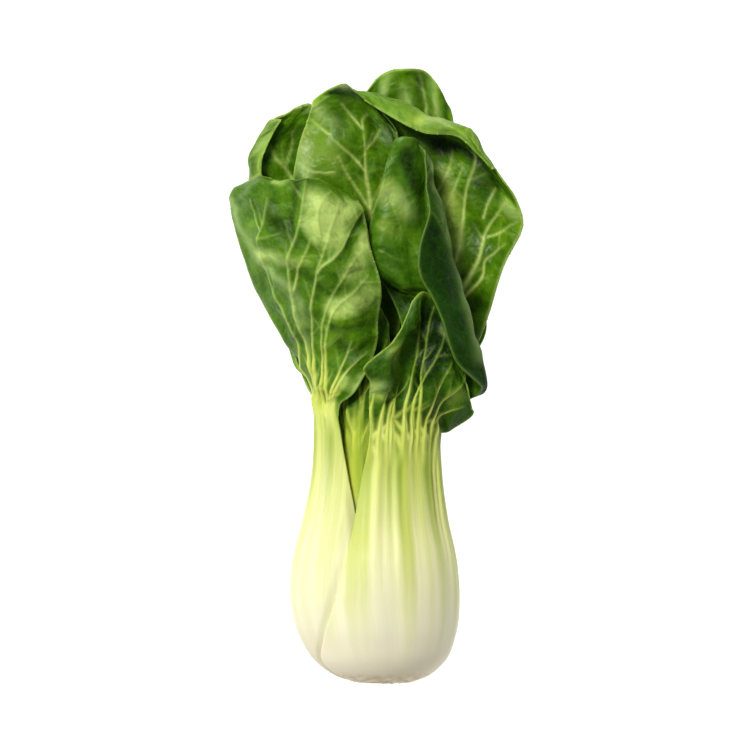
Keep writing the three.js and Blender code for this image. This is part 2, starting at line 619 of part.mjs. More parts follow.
// The short core that every leaf grows from, cut across at the butt
function stemBase() {
  const profile = [
    [0, 0.9],
    [8.6, 0.9],
    [8.1, 2.4],
    [6.9, 5.2],
    [5.8, 8.2],
    [4.8, 11.5],
    [3.6, 15],
    [1.8, 19],
    [0, 20],
  ];
  const points = profile.map(([r, y]) => new THREE.Vector2(r, y));
  const geometry = new THREE.LatheGeometry(points, 24);
  geometry.scale(1, 1, BULB_DEPTH_RATIO);
  const mesh = new THREE.Mesh(geometry, new THREE.MeshStandardMaterial(CUT_FACE));
  mesh.name = 'stem_base';
  mesh.position.set(OUTLINE[0][2], 0, AXIS_HEIGHT);
  return mesh;
}

const head = new THREE.Group();
head.add(stemBase());
for (const leaf of LEAVES) head.add(...leafMeshes(leaf));
head.position.y = -BUTT_TO_MIDDLE;

export default head;
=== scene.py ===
"""A head of bok choy lying on its back, seen from straight above in plain studio light.

Every leaf is one closed sheet from its foot on the core to its tip: first a thick, fluted stalk that
follows the outline of the bulb, then a thin blade through rows of held points. Sizes in the tables are
millimetres, with the butt at Y = 0; meshes are in metres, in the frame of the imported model.
"""

import logging
import math
from dataclasses import dataclass
from enum import Enum

import bpy
import numpy as np
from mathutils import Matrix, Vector


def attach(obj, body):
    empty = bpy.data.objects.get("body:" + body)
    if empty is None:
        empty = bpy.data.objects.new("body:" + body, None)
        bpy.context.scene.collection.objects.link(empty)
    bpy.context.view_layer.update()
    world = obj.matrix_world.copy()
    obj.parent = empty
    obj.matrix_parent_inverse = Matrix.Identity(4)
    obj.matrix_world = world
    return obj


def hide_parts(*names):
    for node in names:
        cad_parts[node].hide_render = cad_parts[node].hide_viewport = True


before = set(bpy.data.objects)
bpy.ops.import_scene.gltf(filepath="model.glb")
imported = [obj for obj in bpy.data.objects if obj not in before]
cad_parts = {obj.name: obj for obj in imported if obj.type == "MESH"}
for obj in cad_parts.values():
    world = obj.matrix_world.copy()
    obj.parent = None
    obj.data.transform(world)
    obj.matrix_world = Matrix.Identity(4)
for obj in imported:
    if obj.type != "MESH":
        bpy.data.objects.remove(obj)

LOG = logging.getLogger("bok_choy")
MM = 0.001
BUTT_TO_MIDDLE = 100.2
AXIS_HEIGHT = 23.6
BULB_DEPTH_RATIO = 0.88
NECK_DEPTH_RATIO = 0.71
BULB_END = 38.0
NECK_START = 76.0
STALK_EDGE = 0.8
BLADE_THICKNESS = 0.55
TUCK_DEPTH = 3.6
TUCK_LESS_AT_NECK = 0.4
TUCK_END_DEG = 7.0
TUCK_START_DEG = 15.0
TUCK_NEAR_SHARE = 0.3

# Shares of a stalk's thickness: lost towards its top, left at its foot, left where the blade begins
TOP_THINNING = 0.45
FOOT_THICKNESS = 0.75
JOINT_THICKNESS = 0.55

# Midrib of the blade: half width as a share of the leaf's width, height in mm
MIDRIB_HALF = 0.09
MIDRIB_HEIGHT = 0.5

# The waves of a leaf's two margins don't run in step
WAVE_SHIFT = 1.7

# How a chain that is seen from above is carried onto the leaf: its points, and how far a higher place
# is preferred to a nearer one, as mm squared for each mm of height
SEEN_POINTS = 40
HIGHER_FIRST = 0.05

# A main vein runs this far down into its stalk, and there stands nearer to the middle by this share
ROOT_LENGTH = 13
ROOT_LEAN = 0.97

# Half widths in mm that thinner lines are spread to: a patch, and a vein for each mm of the grid
LEAST_PATCH = 0.5
LEAST_VEIN = 0.8

# Relief in mm: veins, folds and bulges, planes and ribs of the stalk with their count round the head
MAIN_VEIN_HEIGHT = 0.6
FINE_VEIN_HEIGHT = 0.22
FOLD_DEPTH = 0.7
PLANE_DEPTH = 0.4
PLANES_AROUND = 7
RIB_DEPTH = 0.3
RIBS_AROUND = 26

# Random dents of a blade: wave length in mm and share of the leaf's dent depth
DENT_WAVES = ((26, 1.0), (15, 0.6), (8, 0.24))

# Sizes in mm of what the finish of a leaf shows: patches of green, fine mottling, the vein net and its
# bending, the coarser net and the blisters. Both nets are coarser than real ones, so that they show
PATCH_SIZE = 16
MOTTLE_SIZE = 3.2
NET_SIZE = 2.6
NET_BEND_SIZE = 2.4
COARSE_NET_SIZE = 6.5
BLISTER_SIZE = 7

# Values kept at every point of a leaf for its finish, among them painted shade, highlight and
# sheen; degrees to grain, and mm to tone
SURFACE_VALUES = ("vein", "fine", "pale", "rim", "tone", "groove_shade", "shade_highlight_and_relief", "painted_sheen", "grain")
GRAIN_PER_DEGREE = 0.42
TONE_LENGTH = 95.0

# Bulb and neck outline: radius, distance from the butt, sideways shift of the centre
OUTLINE = np.array([
    (9.5, 0.9, 2.6),
    (14, 2.4, 2.2),
    (18.9, 5.4, 1.8),
    (22.3, 9.3, 1.3),
    (24.9, 15, 0.7),
    (26.7, 21.5, 0),
    (27.3, 29, -0.3),
    (27.1, 36, -0.3),
    (25.8, 42, -0.3),
    (24.2, 48, -0.2),
    (22.6, 55, 0.1),
    (21.3, 61, 0.4),
    (20.6, 68, 0.5),
    (20.3, 77, 0.7),
    (20.3, 88, 0.5),
    (20.5, 98, 0.5),
])


class Ring(Enum):
    """Where a leaf stands round the core: its stalk's depth, thickness and lower rows."""

    OUTER = ((0.0, 0.0), (6.2, 4.0), (0.9, 3, 8, 16, 28, 40, 54, 68))
    MIDDLE = ((7.2, 5.3), (5.0, 2.8), (0.9, 5, 14, 28, 44, 60))
    INNER = ((13.0, 8.8), (3.6, 2.4), (0.9, 6, 18, 34, 50, 66))

    @property
    def depth(self) -> tuple[float, float]:
        """Depth of the stalk's outer face under the outline, in the bulb and at the neck."""
        return self.value[0]

    @property
    def thickness(self) -> tuple[float, float]:
        """Thickness of the middle of the stalk, in the bulb and at the neck."""
        return self.value[1]

    @property
    def lower_rows(self) -> tuple:
        """Distances from the butt of the rows that all stalks of the ring share."""
        return self.value[2]


class Skin(Enum):
    """The finishes that a leaf can have, two of them darker copies that carry painted shade."""

    OUTER_LIGHT = "outer_light"
    OUTER_DARK = "outer_dark"
    INNER = "inner"
    INNER_DARK = "inner_dark"
    HEART = "heart"


def smooth(low: float, high: float, x: np.ndarray) -> np.ndarray:
    """An even rise from 0 at low to 1 at high."""
    t = np.clip((x - low) / (high - low), 0, 1)
    return t * t * (3 - 2 * t)


def read_pairs(pairs: list, x: np.ndarray) -> np.ndarray:
    """A value read from a list of [place, value] pairs."""
    places, values = zip(*pairs)
    return np.interp(x, places, values)


def through(points: np.ndarray, knots: np.ndarray, t: np.ndarray) -> np.ndarray:
    """A smooth curve through points.

    Args:
        points: the points, of any dimension, along the first axis.
        knots: the place of each point along the curve.
        t: where to read the curve.

    Returns:
        The curve's points, one for each t.
    """
    slopes = np.empty_like(points)
    step = np.diff(knots).reshape(-1, *[1] * (points.ndim - 1))
    delta = np.diff(points, axis=0) / step
    slopes[0], slopes[-1] = delta[0], delta[-1]
    h0, h1 = step[:-1], step[1:]
    slopes[1:-1] = (delta[:-1] * h1 + delta[1:] * h0) / (h0 + h1)
    i = np.clip(np.searchsorted(knots, t, side="right") - 1, 0, len(knots) - 2)
    h = (knots[i + 1] - knots[i])
    s = (t - knots[i]) / h
    shape = (-1, *[1] * (points.ndim - 1))
    h, s = h.reshape(shape), s.reshape(shape)
    return ((1 + 2 * s) * (1 - s) ** 2 * points[i] + s * (1 - s) ** 2 * h * slopes[i]
            + s * s * (3 - 2 * s) * points[i + 1] + s * s * (s - 1) * h * slopes[i + 1])


def chord_knots(points: np.ndarray) -> np.ndarray:
    """Places of points along the chain that joins them, from 0 to 1."""
    lengths = np.linalg.norm(np.diff(points, axis=0), axis=1)
    knots = np.concatenate([[0], np.cumsum(lengths)])
    return knots / knots[-1]


OUTLINE_KNOTS = chord_knots(OUTLINE[:, :2])


def outline_at(place: np.ndarray) -> np.ndarray:
    """Points of the outline at places from 0 to 1 along it."""
    return through(OUTLINE, OUTLINE_KNOTS, np.atleast_1d(place))


def place_at(y: float) -> float:
    """The place along the outline, from 0 to 1, of a distance from the butt."""
    places = np.linspace(0, 1, 2001)
    return float(np.interp(y, outline_at(places)[:, 1], places))


def stalk_points(place: float, angle: np.ndarray, depth: np.ndarray) -> np.ndarray:
    """Points of a stalk's outer face.

    Args:
        place: the place along the outline, from 0 to 1.
        angle: degrees round the head's axis, from the front towards +X.
        depth: depth under the outline.

    Returns:
        The points, one for each angle.
    """
    step = 0.004
    at = outline_at(place)[0]
    before = outline_at(max(0.0, place - step))[0]
    after = outline_at(min(1.0, place + step))[0]
    dr, dy = after[0] - before[0], after[1] - before[1]
    length = math.hypot(dr, dy)
    radius = at[0] - depth * dy / length
    y = at[1] + depth * dr / length
    ratio = BULB_DEPTH_RATIO + (NECK_DEPTH_RATIO - BULB_DEPTH_RATIO) * smooth(BULB_END, NECK_START, at[1])
    radius_z = at[0] * ratio - (at[0] - radius)
    turn = np.radians(angle)
    return np.stack([at[2] + radius * np.sin(turn), y, AXIS_HEIGHT + radius_z * np.cos(turn)], axis=1)


def rooted(*chain: tuple) -> tuple:
    """A chain of points seen from above, for a vein that runs on down into its stalk."""
    x, y = chain[0]
    return ((ROOT_LEAN * x, y - ROOT_LENGTH), *chain)


def to_frame(points: np.ndarray) -> list:
    """Points in mm, with the butt at Y = 0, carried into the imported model's frame, in metres."""
    return ((points - np.array([0, BUTT_TO_MIDDLE, 0])) * MM).tolist()


def place_object(name: str, data: bpy.types.ID) -> bpy.types.Object:
    """A new object of the scene, at the origin."""
    made = bpy.data.objects.new(name, data)
    bpy.context.scene.collection.objects.link(made)
    return made


def smooth_mesh(name: str, points: np.ndarray, faces: list) -> bpy.types.Mesh:
    """A smoothly shaded mesh from points in mm."""
    mesh = bpy.data.meshes.new(name)
    mesh.from_pydata(to_frame(points), [], faces)
    mesh.polygons.foreach_set("use_smooth", [True] * len(mesh.polygons))
    return mesh


@dataclass(frozen=True)
class Vein:
    """One vein as a chain of points on the flattened leaf, in mm, with its half width at each point."""

    points: np.ndarray
    widths: np.ndarray
    main: bool = True

    def branches(self, rng: np.random.Generator) -> list["Vein"]:
        """The finer veins that leave it on both sides.

        Args:
            rng: the leaf's seeded source of random numbers.

        Returns:
            The branches.
        """
        steps = np.linalg.norm(np.diff(self.points, axis=0), axis=1)
        places = np.concatenate([[0], np.cumsum(steps)])
        found = []
        at = 5.0 + rng.uniform(0, 4)
        sign = 1
        while at < places[-1] - 3:
            start = np.array([np.interp(at, places, self.points[:, k]) for k in (0, 1)])
            ahead = np.array([np.interp(at + 1, places, self.points[:, k]) for k in (0, 1)]) - start
            heading = math.atan2(ahead[1], ahead[0])
            length = rng.uniform(4, 10)
            t = np.linspace(0, 1, 9)
            turn = heading + sign * np.radians(rng.uniform(36, 52)) * (1 - 0.3 * t)
            steps_out = np.stack([np.cos(turn[1:]), np.sin(turn[1:])], axis=1) * (length / 8)
            points = start + np.concatenate([[[0, 0]], np.cumsum(steps_out, axis=0)])
            found.append(Vein(points, 0.2 * (1 - t) + 0.08, main=False))
            at += rng.uniform(6, 13)
            sign = -sign
        return found


@dataclass(frozen=True)
class Grid:
    """The fine grid of a leaf: its points, their normals and their places on the leaf laid flat."""

    u: np.ndarray
    v: np.ndarray
    base: np.ndarray
    normal: np.ndarray
    x: np.ndarray
    y: np.ndarray

    def seen(self, chain: tuple, first_row: float) -> np.ndarray:
        """A chain of points seen from above, carried onto the leaf laid flat.

        Args:
            chain: points (x, distance from the butt), in mm.
            first_row: the row number that it may start at.

        Returns:
            SEEN_POINTS points in flat mm.
        """
        points = np.array(chain, float)
        points = through(points, chord_knots(points), np.linspace(0, 1, SEEN_POINTS))
        first = int(np.searchsorted(self.v, first_row))
        places = self.base[first:].reshape(-1, 3)
        away = ((points[:, None] - places[None, :, :2]) ** 2).sum(axis=2) - HIGHER_FIRST * places[:, 2]
        nearest = away.argmin(axis=1)
        path_y = self.y[first + nearest // self.x.shape[1]]
        path = np.stack([self.x[first:].ravel()[nearest], path_y], axis=1)
        padded = np.pad(path, ((2, 2), (0, 0)), mode="edge")
        return sum(padded[i:i + SEEN_POINTS] for i in range(5)) / 5

    def at(self, side: np.ndarray, row: np.ndarray) -> np.ndarray:
        """Flat points at places across the leaf, from -1 to 1, and at fractional line numbers."""
        lines, columns = self.x.shape
        column = np.clip((side + 1) / 2, 0, 1) * (columns - 1)
        r, c = np.clip(row.astype(int), 0, lines - 2), np.clip(column.astype(int), 0, columns - 2)
        fr, fc = row - r, column - c
        top = self.x[r, c] * (1 - fc) + self.x[r, c + 1] * fc
        low = self.x[r + 1, c] * (1 - fc) + self.x[r + 1, c + 1] * fc
        return np.stack([top * (1 - fr) + low * fr, np.interp(row, np.arange(lines), self.y)], axis=1)

    def strength(self, veins: list[Vein], least: float) -> tuple[np.ndarray, np.ndarray, np.ndarray]:
        """How strongly each grid point lies on a vein.

        Args:
            veins: the veins, in flat mm.
            least: half width that a thinner vein is spread to, more faintly.

        Returns:
            Main veins and fine veins, both from 0 to 1, and the distance to the nearest vein.
        """
        px, py = self.x.ravel(), np.repeat(self.y, self.x.shape[1])
        main, fine = np.zeros(px.size), np.zeros(px.size)
        near = np.full(px.size, 9.0)
        for vein in veins:
            reach = 2.5 * float(vein.widths.max()) + 2.0
            a, b = vein.points[:-1], vein.points[1:]
            low, high = vein.points.min(axis=0) - reach, vein.points.max(axis=0) + reach
            chosen = np.flatnonzero((px > low[0]) & (px < high[0]) & (py > low[1]) & (py < high[1]))
            if not chosen.size:
                continue
            p = np.stack([px[chosen], py[chosen]], axis=1)[:, None]
            ab = b - a
            t = np.clip(((p - a) * ab).sum(axis=2) / np.maximum((ab * ab).sum(axis=1), 1e-9), 0, 1)
            d = np.linalg.norm(p - (a + ab * t[..., None]), axis=2)
            best = d.argmin(axis=1)
            pick = np.arange(len(chosen))
            where = t[pick, best]
            width = vein.widths[:-1][best] * (1 - where) + vein.widths[1:][best] * where
            distance = d[pick, best]
            fade = (1 - 0.4 * (best + where) / len(a)) * np.clip(width / least, 0, 1) ** 0.7
            shown = fade * np.exp(-((distance / np.maximum(width, least)) ** 2))
            target = main if vein.main else fine
            target[chosen] = np.maximum(target[chosen], shown)
            near[chosen] = np.minimum(near[chosen], distance)
        shape = self.x.shape
        return main.reshape(shape), fine.reshape(shape), near.reshape(shape)


@dataclass
class Leaf:
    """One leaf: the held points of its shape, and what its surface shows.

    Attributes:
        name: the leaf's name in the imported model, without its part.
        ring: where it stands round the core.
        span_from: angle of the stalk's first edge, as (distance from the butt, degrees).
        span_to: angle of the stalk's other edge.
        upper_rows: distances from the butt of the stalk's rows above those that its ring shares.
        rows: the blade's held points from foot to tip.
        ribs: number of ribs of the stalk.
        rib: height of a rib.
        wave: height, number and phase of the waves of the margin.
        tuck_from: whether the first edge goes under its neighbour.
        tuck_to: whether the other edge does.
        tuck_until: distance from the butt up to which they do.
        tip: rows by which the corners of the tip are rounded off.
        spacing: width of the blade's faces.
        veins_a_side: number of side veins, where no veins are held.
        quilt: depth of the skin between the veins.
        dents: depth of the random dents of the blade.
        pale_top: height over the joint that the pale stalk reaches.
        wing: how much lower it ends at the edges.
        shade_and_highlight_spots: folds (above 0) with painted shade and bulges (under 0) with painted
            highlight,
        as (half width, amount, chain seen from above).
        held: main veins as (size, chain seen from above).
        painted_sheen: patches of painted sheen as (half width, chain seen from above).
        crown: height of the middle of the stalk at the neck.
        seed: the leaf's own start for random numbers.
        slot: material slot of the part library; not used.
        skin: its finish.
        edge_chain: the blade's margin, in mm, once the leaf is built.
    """

    name: str
    ring: Ring
    span_from: list
    span_to: list
    upper_rows: tuple
    rows: list
    ribs: int = 3
    rib: float = 0.3
    wave: tuple = (0.7, 3.0, 0.0)
    tuck_from: bool = False
    tuck_to: bool = False
    tuck_until: float = 0.0
    tip: float = 0.0
    spacing: float = 0.6
    veins_a_side: int = 5
    quilt: float = 0.3
    dents: float = 0.8
    pale_top: float = 4.0
    wing: float = 3.0
    shade_and_highlight_spots: tuple = ()
    held: tuple = ()
    painted_sheen: tuple = ()
    crown: float = 0.0
    seed: int = 1
    slot: str = "inner_blade"
    skin: Skin = Skin.INNER
    edge_chain: np.ndarray | None = None

    @property
    def stalk_rows(self) -> tuple:
        """Distances from the butt of all rows of the stalk."""
        return self.ring.lower_rows + self.upper_rows

    @property
    def stalk_end(self) -> int:
        """The row number where the stalk ends and the blade begins."""
        return len(self.stalk_rows) - 1

    @property
    def end(self) -> int:
        """The number of the last row, at the tip."""
        return self.stalk_end + len(self.rows)

    def row_knots(self) -> np.ndarray:
        """Spacing of the rows in mm, read along the middle of the leaf."""
        middle = []
        for y in self.stalk_rows:
            angle = (read_pairs(self.span_from, y) + read_pairs(self.span_to, y)) / 2
            middle.append(stalk_points(place_at(y), np.array([angle]), np.array([self.ring.depth[0]]))[0])
        half = (len(self.rows[0]) - 1) // 2
        middle += [np.array(row[half], float) for row in self.rows]
        steps = [max(3.0, float(np.linalg.norm(b - a))) for a, b in zip(middle, middle[1:])]
        return np.concatenate([[0], np.cumsum(steps)])

    def stalk_row(self, y_row: float, u: np.ndarray) -> np.ndarray:
        """One row of the stalk's outer face, at the places u across it."""
        place = place_at(y_row)
        y = outline_at(place)[0][1]
        start, stop = read_pairs(self.span_from, y), read_pairs(self.span_to, y)
        angle = start + (stop - start) * u
        neck = smooth(BULB_END, NECK_START, y)
        near, far = self.ring.depth
        depth = np.full_like(u, near + (far - near) * neck)
        hidden = 1 - smooth(self.tuck_until - 6, self.tuck_until + 4, y)
        full = TUCK_DEPTH * (1 - TUCK_LESS_AT_NECK * neck) * hidden
        if self.tuck_from:
            depth += full * self.tucked(angle - start)
        if self.tuck_to:
            depth += full * self.tucked(stop - angle)
        depth -= self.crown * neck * np.sin(np.pi * u) ** 2
        ribbed = smooth(22, 60, y) * np.sin(np.pi * u)
        depth -= self.rib * ribbed * (0.5 + 0.5 * np.cos(2 * np.pi * self.ribs * (u - 0.5)))
        return stalk_points(place, angle, depth)

    @staticmethod
    def tucked(inward: np.ndarray) -> np.ndarray:
        """Share of the full tuck at places so many degrees inward from the stalk's edge."""
        near = 1 - smooth(TUCK_END_DEG, TUCK_START_DEG, inward)
        under = 1 - smooth(0, TUCK_END_DEG + 1, inward)
        return TUCK_NEAR_SHARE * near + (1 - TUCK_NEAR_SHARE) * under

    def surface(self, u: np.ndarray, v: np.ndarray) -> np.ndarray:
        """Points of the leaf's outer face.

        Args:
            u: places across the leaf from 0 to 1, one for each column.
            v: row numbers, an array of rows by columns.

        Returns:
            An array of rows by columns by 3, in mm.
        """
        held = [self.stalk_row(y, u) for y in self.stalk_rows]
        across = np.linspace(0, 1, len(self.rows[0]))
        held += [through(np.array(row, float), across, u) for row in self.rows]
        held = np.array(held)
        knots = self.row_knots()
        number = np.arange(len(knots))
        t = np.interp(v, number, knots)
        out = np.empty((*v.shape, 3))
        for i in range(len(u)):
            out[:, i] = through(held[:, i], knots, t[:, i])
        blade = np.clip((v - self.stalk_end) / (self.end - self.stalk_end), 0, None)
        side = np.where(u < 0.5, 0, WAVE_SHIFT)[None, :]
        margin = np.abs(2 * u - 1)[None, :] ** 3 * smooth(0, 0.25, blade)
        height, count, phase = self.wave
        out[..., 2] += height * margin * np.sin(2 * np.pi * count * blade + phase + side)
        return out

    def thickness(self, u: np.ndarray, v: np.ndarray) -> np.ndarray:
        """Thickness of the leaf: thick in the middle of the stalk, thin at its edges and in the blade."""
        across = np.clip(1 - (2 * u[None, :] - 1) ** 2, 0, None) ** 0.8
        y = np.interp(v, np.arange(len(self.stalk_rows)), self.stalk_rows)
        neck = smooth(BULB_END, NECK_START, y)
        bulb, top = self.ring.thickness
        middle = bulb + (top - bulb) * neck
        middle = middle * (1 - TOP_THINNING * smooth(NECK_START, self.stalk_rows[-1], y))
        middle = middle * (FOOT_THICKNESS + (1 - FOOT_THICKNESS) * smooth(2, 12, y))
        stalk = STALK_EDGE + (middle - STALK_EDGE) * across
        blade = np.clip((v - self.stalk_end) / (self.end - self.stalk_end), 0, 1)
        thinning = 1 - smooth(0, 0.3, blade)
        plain = BLADE_THICKNESS + (STALK_EDGE - BLADE_THICKNESS) * thinning
        start = top * JOINT_THICKNESS
        midrib = np.clip((start - STALK_EDGE) * thinning + MIDRIB_HEIGHT * (1 - blade), 0, None)
        sheet = plain + midrib * np.exp(-(((u[None, :] - 0.5) / MIDRIB_HALF) ** 2))
        sheet = sheet + np.clip(start - plain, 0, None) * thinning * across
        return np.where(v <= self.stalk_end, stalk, sheet)

    def rows_and_columns(self) -> tuple[np.ndarray, np.ndarray]:
        """Fine row numbers and places across, so that the blade's faces are about as wide as spacing."""
        rough = self.surface(np.linspace(0, 1, 33), np.tile(np.linspace(0, self.end, 80)[:, None], 33))
        width = np.linalg.norm(np.diff(rough, axis=1), axis=2).sum(axis=1).max()
        columns = int(width / self.spacing) // 2 * 2 + 1
        knots = self.row_knots()
        joint = knots[self.stalk_end]
        stalk = np.linspace(0, joint, int(joint / max(1.0, self.spacing)) + 1)
        blade = np.linspace(joint, knots[-1], int((knots[-1] - joint) / self.spacing) + 1)
        places = np.concatenate([stalk[:-1], blade])
        return np.linspace(0, 1, columns), np.interp(places, knots, np.arange(len(knots)))

    def lay_out(self) -> Grid:
        """The leaf's fine grid, with the corners of its tip rounded off."""
        u, v = self.rows_and_columns()
        rows = np.tile(v[:, None], len(u))
        rounded = self.tip * np.abs(2 * u - 1)[None, :] ** 4 * smooth(self.end - 2.5, self.end, rows)
        base = self.surface(u, rows - rounded)
        normal = np.cross(np.gradient(base, axis=1), np.gradient(base, axis=0))
        normal /= np.maximum(np.linalg.norm(normal, axis=2, keepdims=True), 1e-9)
        middle = len(u) // 2
        across = np.linalg.norm(np.diff(base, axis=1), axis=2)
        x = np.concatenate([np.zeros((len(v), 1)), np.cumsum(across, axis=1)], axis=1)
        x -= x[:, middle:middle + 1]
        along = np.linalg.norm(np.diff(base[:, middle], axis=0), axis=1)
        y = np.concatenate([[0], np.cumsum(along)])
        return Grid(u, v, base, normal, x, y)

    def grow_veins(self, grid: Grid) -> list[Vein]:
        """Midrib, side veins and their branches, for a leaf whose veins the view from above hides."""
        rng = np.random.default_rng(self.seed)

        def flat(side: np.ndarray, share: np.ndarray) -> np.ndarray:
            """Places on the sheet laid flat, in mm, from a side and a share of the blade's length."""
            row = self.stalk_end + share * (self.end - self.stalk_end)
            return grid.at(side, np.interp(row, grid.v, np.arange(len(grid.v))))

        t = np.linspace(0, 1, 28)
        veins = [Vein(flat(np.zeros_like(t), -0.3 + 1.26 * t), 1.0 * (1 - t) ** 0.9 + 0.14)]
        for sign in (-1, 1):
            for k in range(self.veins_a_side):
                share = k / self.veins_a_side
                low = -0.12 + 0.8 * share + rng.uniform(-0.02, 0.02) + 0.05 * (sign > 0)
                high = min(low + 0.34 + 0.16 * (1 - share) + rng.uniform(-0.02, 0.02), 0.97)
                reach = sign * (0.93 - 0.3 * share ** 3)
                bend = rng.uniform(0.75, 0.95)
                sway = 0.02 * np.sin(2 * np.pi * (t * rng.uniform(0.8, 1.6) + rng.uniform()))
                path = flat(reach * t ** bend + sway * t, low + (high - low) * t)
                veins.append(Vein(path, (0.48 - 0.2 * share) * (1 - t) ** 0.7 + 0.1))
        for vein in veins[1:]:
            veins += vein.branches(rng)
        return veins

    def held_veins(self, grid: Grid) -> list[Vein]:
        """The main veins that are listed, with branches on the larger ones."""
        taper = (1 - np.linspace(0, 1, SEEN_POINTS)) ** 0.7
        veins = [Vein(grid.seen(chain, self.stalk_end - 2), 0.62 * size * taper + 0.14)
                 for size, chain in self.held]
        rng = np.random.default_rng(self.seed)
        for vein in [vein for vein in veins if vein.widths[0] > 0.42]:
            veins += vein.branches(rng)
        return veins

    def patch(self, grid: Grid, half: float, chain: tuple) -> Vein:
        """A soft patch of one half width along a chain that is seen from above."""
        return Vein(grid.seen(chain, self.stalk_end - 2), np.full(SEEN_POINTS, half))

    def turns(self, u: np.ndarray, v: np.ndarray) -> np.ndarray:
        """Degrees round the head's axis of every place of the stalk, held from its top upwards."""
        y = np.interp(v, np.arange(len(self.stalk_rows)), self.stalk_rows)
        start, stop = read_pairs(self.span_from, y)[:, None], read_pairs(self.span_to, y)[:, None]
        return start + (stop - start) * u[None, :]

    def planes(self, u: np.ndarray, y: np.ndarray, turns: np.ndarray, joint: float) -> np.ndarray:
        """How far the broad soft planes and fine ribs of the stalk stand back from its plain form.

        Args:
            u: places across the leaf.
            y: flat distance from the foot, of every row.
            turns: degrees round the head's axis, of every point.
            joint: flat distance from the foot at which the blade begins.

        Returns:
            The depth of every point.
        """
        turn = np.radians(turns) + 0.12 * np.sin(np.radians(turns) * PLANES_AROUND + self.seed)
        in_bulb = smooth(8, 30, y) * (1 - smooth(60, 92, y))
        in_neck = smooth(30, 75, y) * (1 - smooth(joint - 12, joint - 1, y))
        broad = PLANE_DEPTH * np.cos(turn * PLANES_AROUND + self.seed) * in_bulb[:, None]
        fine = RIB_DEPTH * np.cos(turn * RIBS_AROUND) * in_neck[:, None]
        return (broad + fine) * np.sin(np.pi * u)[None, :] ** 0.5

    def dent_field(self, grid: Grid) -> np.ndarray:
        """Broad random dents and swellings of the blade, calmer towards its margins."""
        rng = np.random.default_rng(self.seed + 50)
        x, y = grid.x, grid.y[:, None]
        dents = np.zeros_like(x)
        for wave_length, height in DENT_WAVES:
            turn, start = rng.uniform(0, 2 * np.pi, 2)
            run = (x * np.cos(turn) + y * np.sin(turn)) / wave_length
            cross = (y * np.cos(turn) - x * np.sin(turn)) / (wave_length * 1.3)
            dents += height * np.sin(2 * np.pi * run + start) * np.sin(2 * np.pi * cross)
        return dents * (1 - 0.75 * smooth(0.75, 1.0, np.abs(2 * grid.u - 1))[None, :])

    def sheet(self, grid: Grid) -> tuple[np.ndarray, np.ndarray, dict[str, np.ndarray]]:
        """Both faces of the leaf with their relief, and the values that its finish reads.

        Args:
            grid: the leaf's fine grid.

        Returns:
            Points of the outer face and of the inner face, and the values by name.
        """
        u, x, y = grid.u, grid.x, grid.y
        rows = np.tile(grid.v[:, None], len(u))
        blade = np.clip((rows - self.stalk_end) / (self.end - self.stalk_end), -1, 1)
        in_blade = smooth(-0.08, 0.1, blade)
        turns = self.turns(u, grid.v)
        joint = float(np.interp(self.stalk_end, grid.v, y))
        from_joint = y - joint

        veins = self.held_veins(grid) if self.held else self.grow_veins(grid)
        main, fine, near = grid.strength(veins, LEAST_VEIN * self.spacing)
        # Patches of painted sheen
        sheen_patches = [self.patch(grid, half, chain) for half, chain in self.painted_sheen]
        painted_sheen = grid.strength(sheen_patches, LEAST_PATCH)[0]
        # Painted shade (above 0) and painted highlight (under 0) along chains, which also sink and raise
        # the surface
        shade_highlight_and_relief = np.zeros_like(x)
        for half, amount, chain in self.shade_and_highlight_spots:
            shade_highlight_and_relief += amount * grid.strength([self.patch(grid, half, chain)], LEAST_PATCH)[0]
        shade_highlight_and_relief = np.clip(shade_highlight_and_relief, -1, 1)

        # Folds sink and bulges rise on the face that is seen, which is the inner one on the inner leaves
        sink = (-FOLD_DEPTH if self.skin in (Skin.INNER, Skin.INNER_DARK) else FOLD_DEPTH) * shade_highlight_and_relief
        puff = (1 - np.exp(-((near / 2.4) ** 2))) * in_blade
        shift = -self.quilt * puff - sink * in_blade + self.dents * self.dent_field(grid) * in_blade
        shift = (shift - self.planes(u, y, turns, joint))[..., None] * grid.normal
        ridge = MAIN_VEIN_HEIGHT * main + FINE_VEIN_HEIGHT * fine
        ridge = (ridge * smooth(joint - 9, joint + 2, y)[:, None])[..., None] * grid.normal
        outer = grid.base + shift + ridge
        inner = grid.base + shift - self.thickness(u, rows)[..., None] * grid.normal + 0.35 * ridge
        outer[..., 2] = np.maximum(outer[..., 2], 0)
        inner[..., 2] = np.maximum(inner[..., 2], BLADE_THICKNESS / 2)

        # The pale stalk runs up into the blade along its ribs and veins
        ribs = 0.6 * np.cos(np.radians(turns) * 11) + 0.4 * np.cos(np.radians(turns) * RIBS_AROUND)
        if self.held:
            share = smooth(-11, -2, from_joint)[:, None]
            ribs = ribs * (1 - share) + (2 * np.exp(-((near / 1.3) ** 2)) - 1) * share
        edge_wing = self.wing * smooth(0.8, 1.0, np.abs(2 * u - 1))
        place = from_joint[:, None] - self.pale_top - 5 * ribs - 18 * main + edge_wing[None, :]
        # Painted shade: the grooves between the ribs turn darker green towards the top of the stalk
        groove_shade = (0.5 - 0.5 * ribs) * smooth(-42, -4, from_joint)[:, None]
        edge = np.minimum(np.minimum(x - x[:, :1], x[:, -1:] - x), (y[-1] - y)[:, None])
        return outer, inner, {
            "vein": main,
            "fine": fine * in_blade,
            "pale": 1 - smooth(-7, 7, place),
            "rim": np.exp(-((edge / 0.55) ** 2)) * in_blade,
            "tone": np.clip(grid.base[..., 1] / TONE_LENGTH, 0, 1),
            "groove_shade": np.clip(groove_shade, 0, 1),
            "shade_highlight_and_relief": shade_highlight_and_relief * in_blade,
            "painted_sheen": painted_sheen * in_blade,
            "grain": GRAIN_PER_DEGREE * turns,
        }

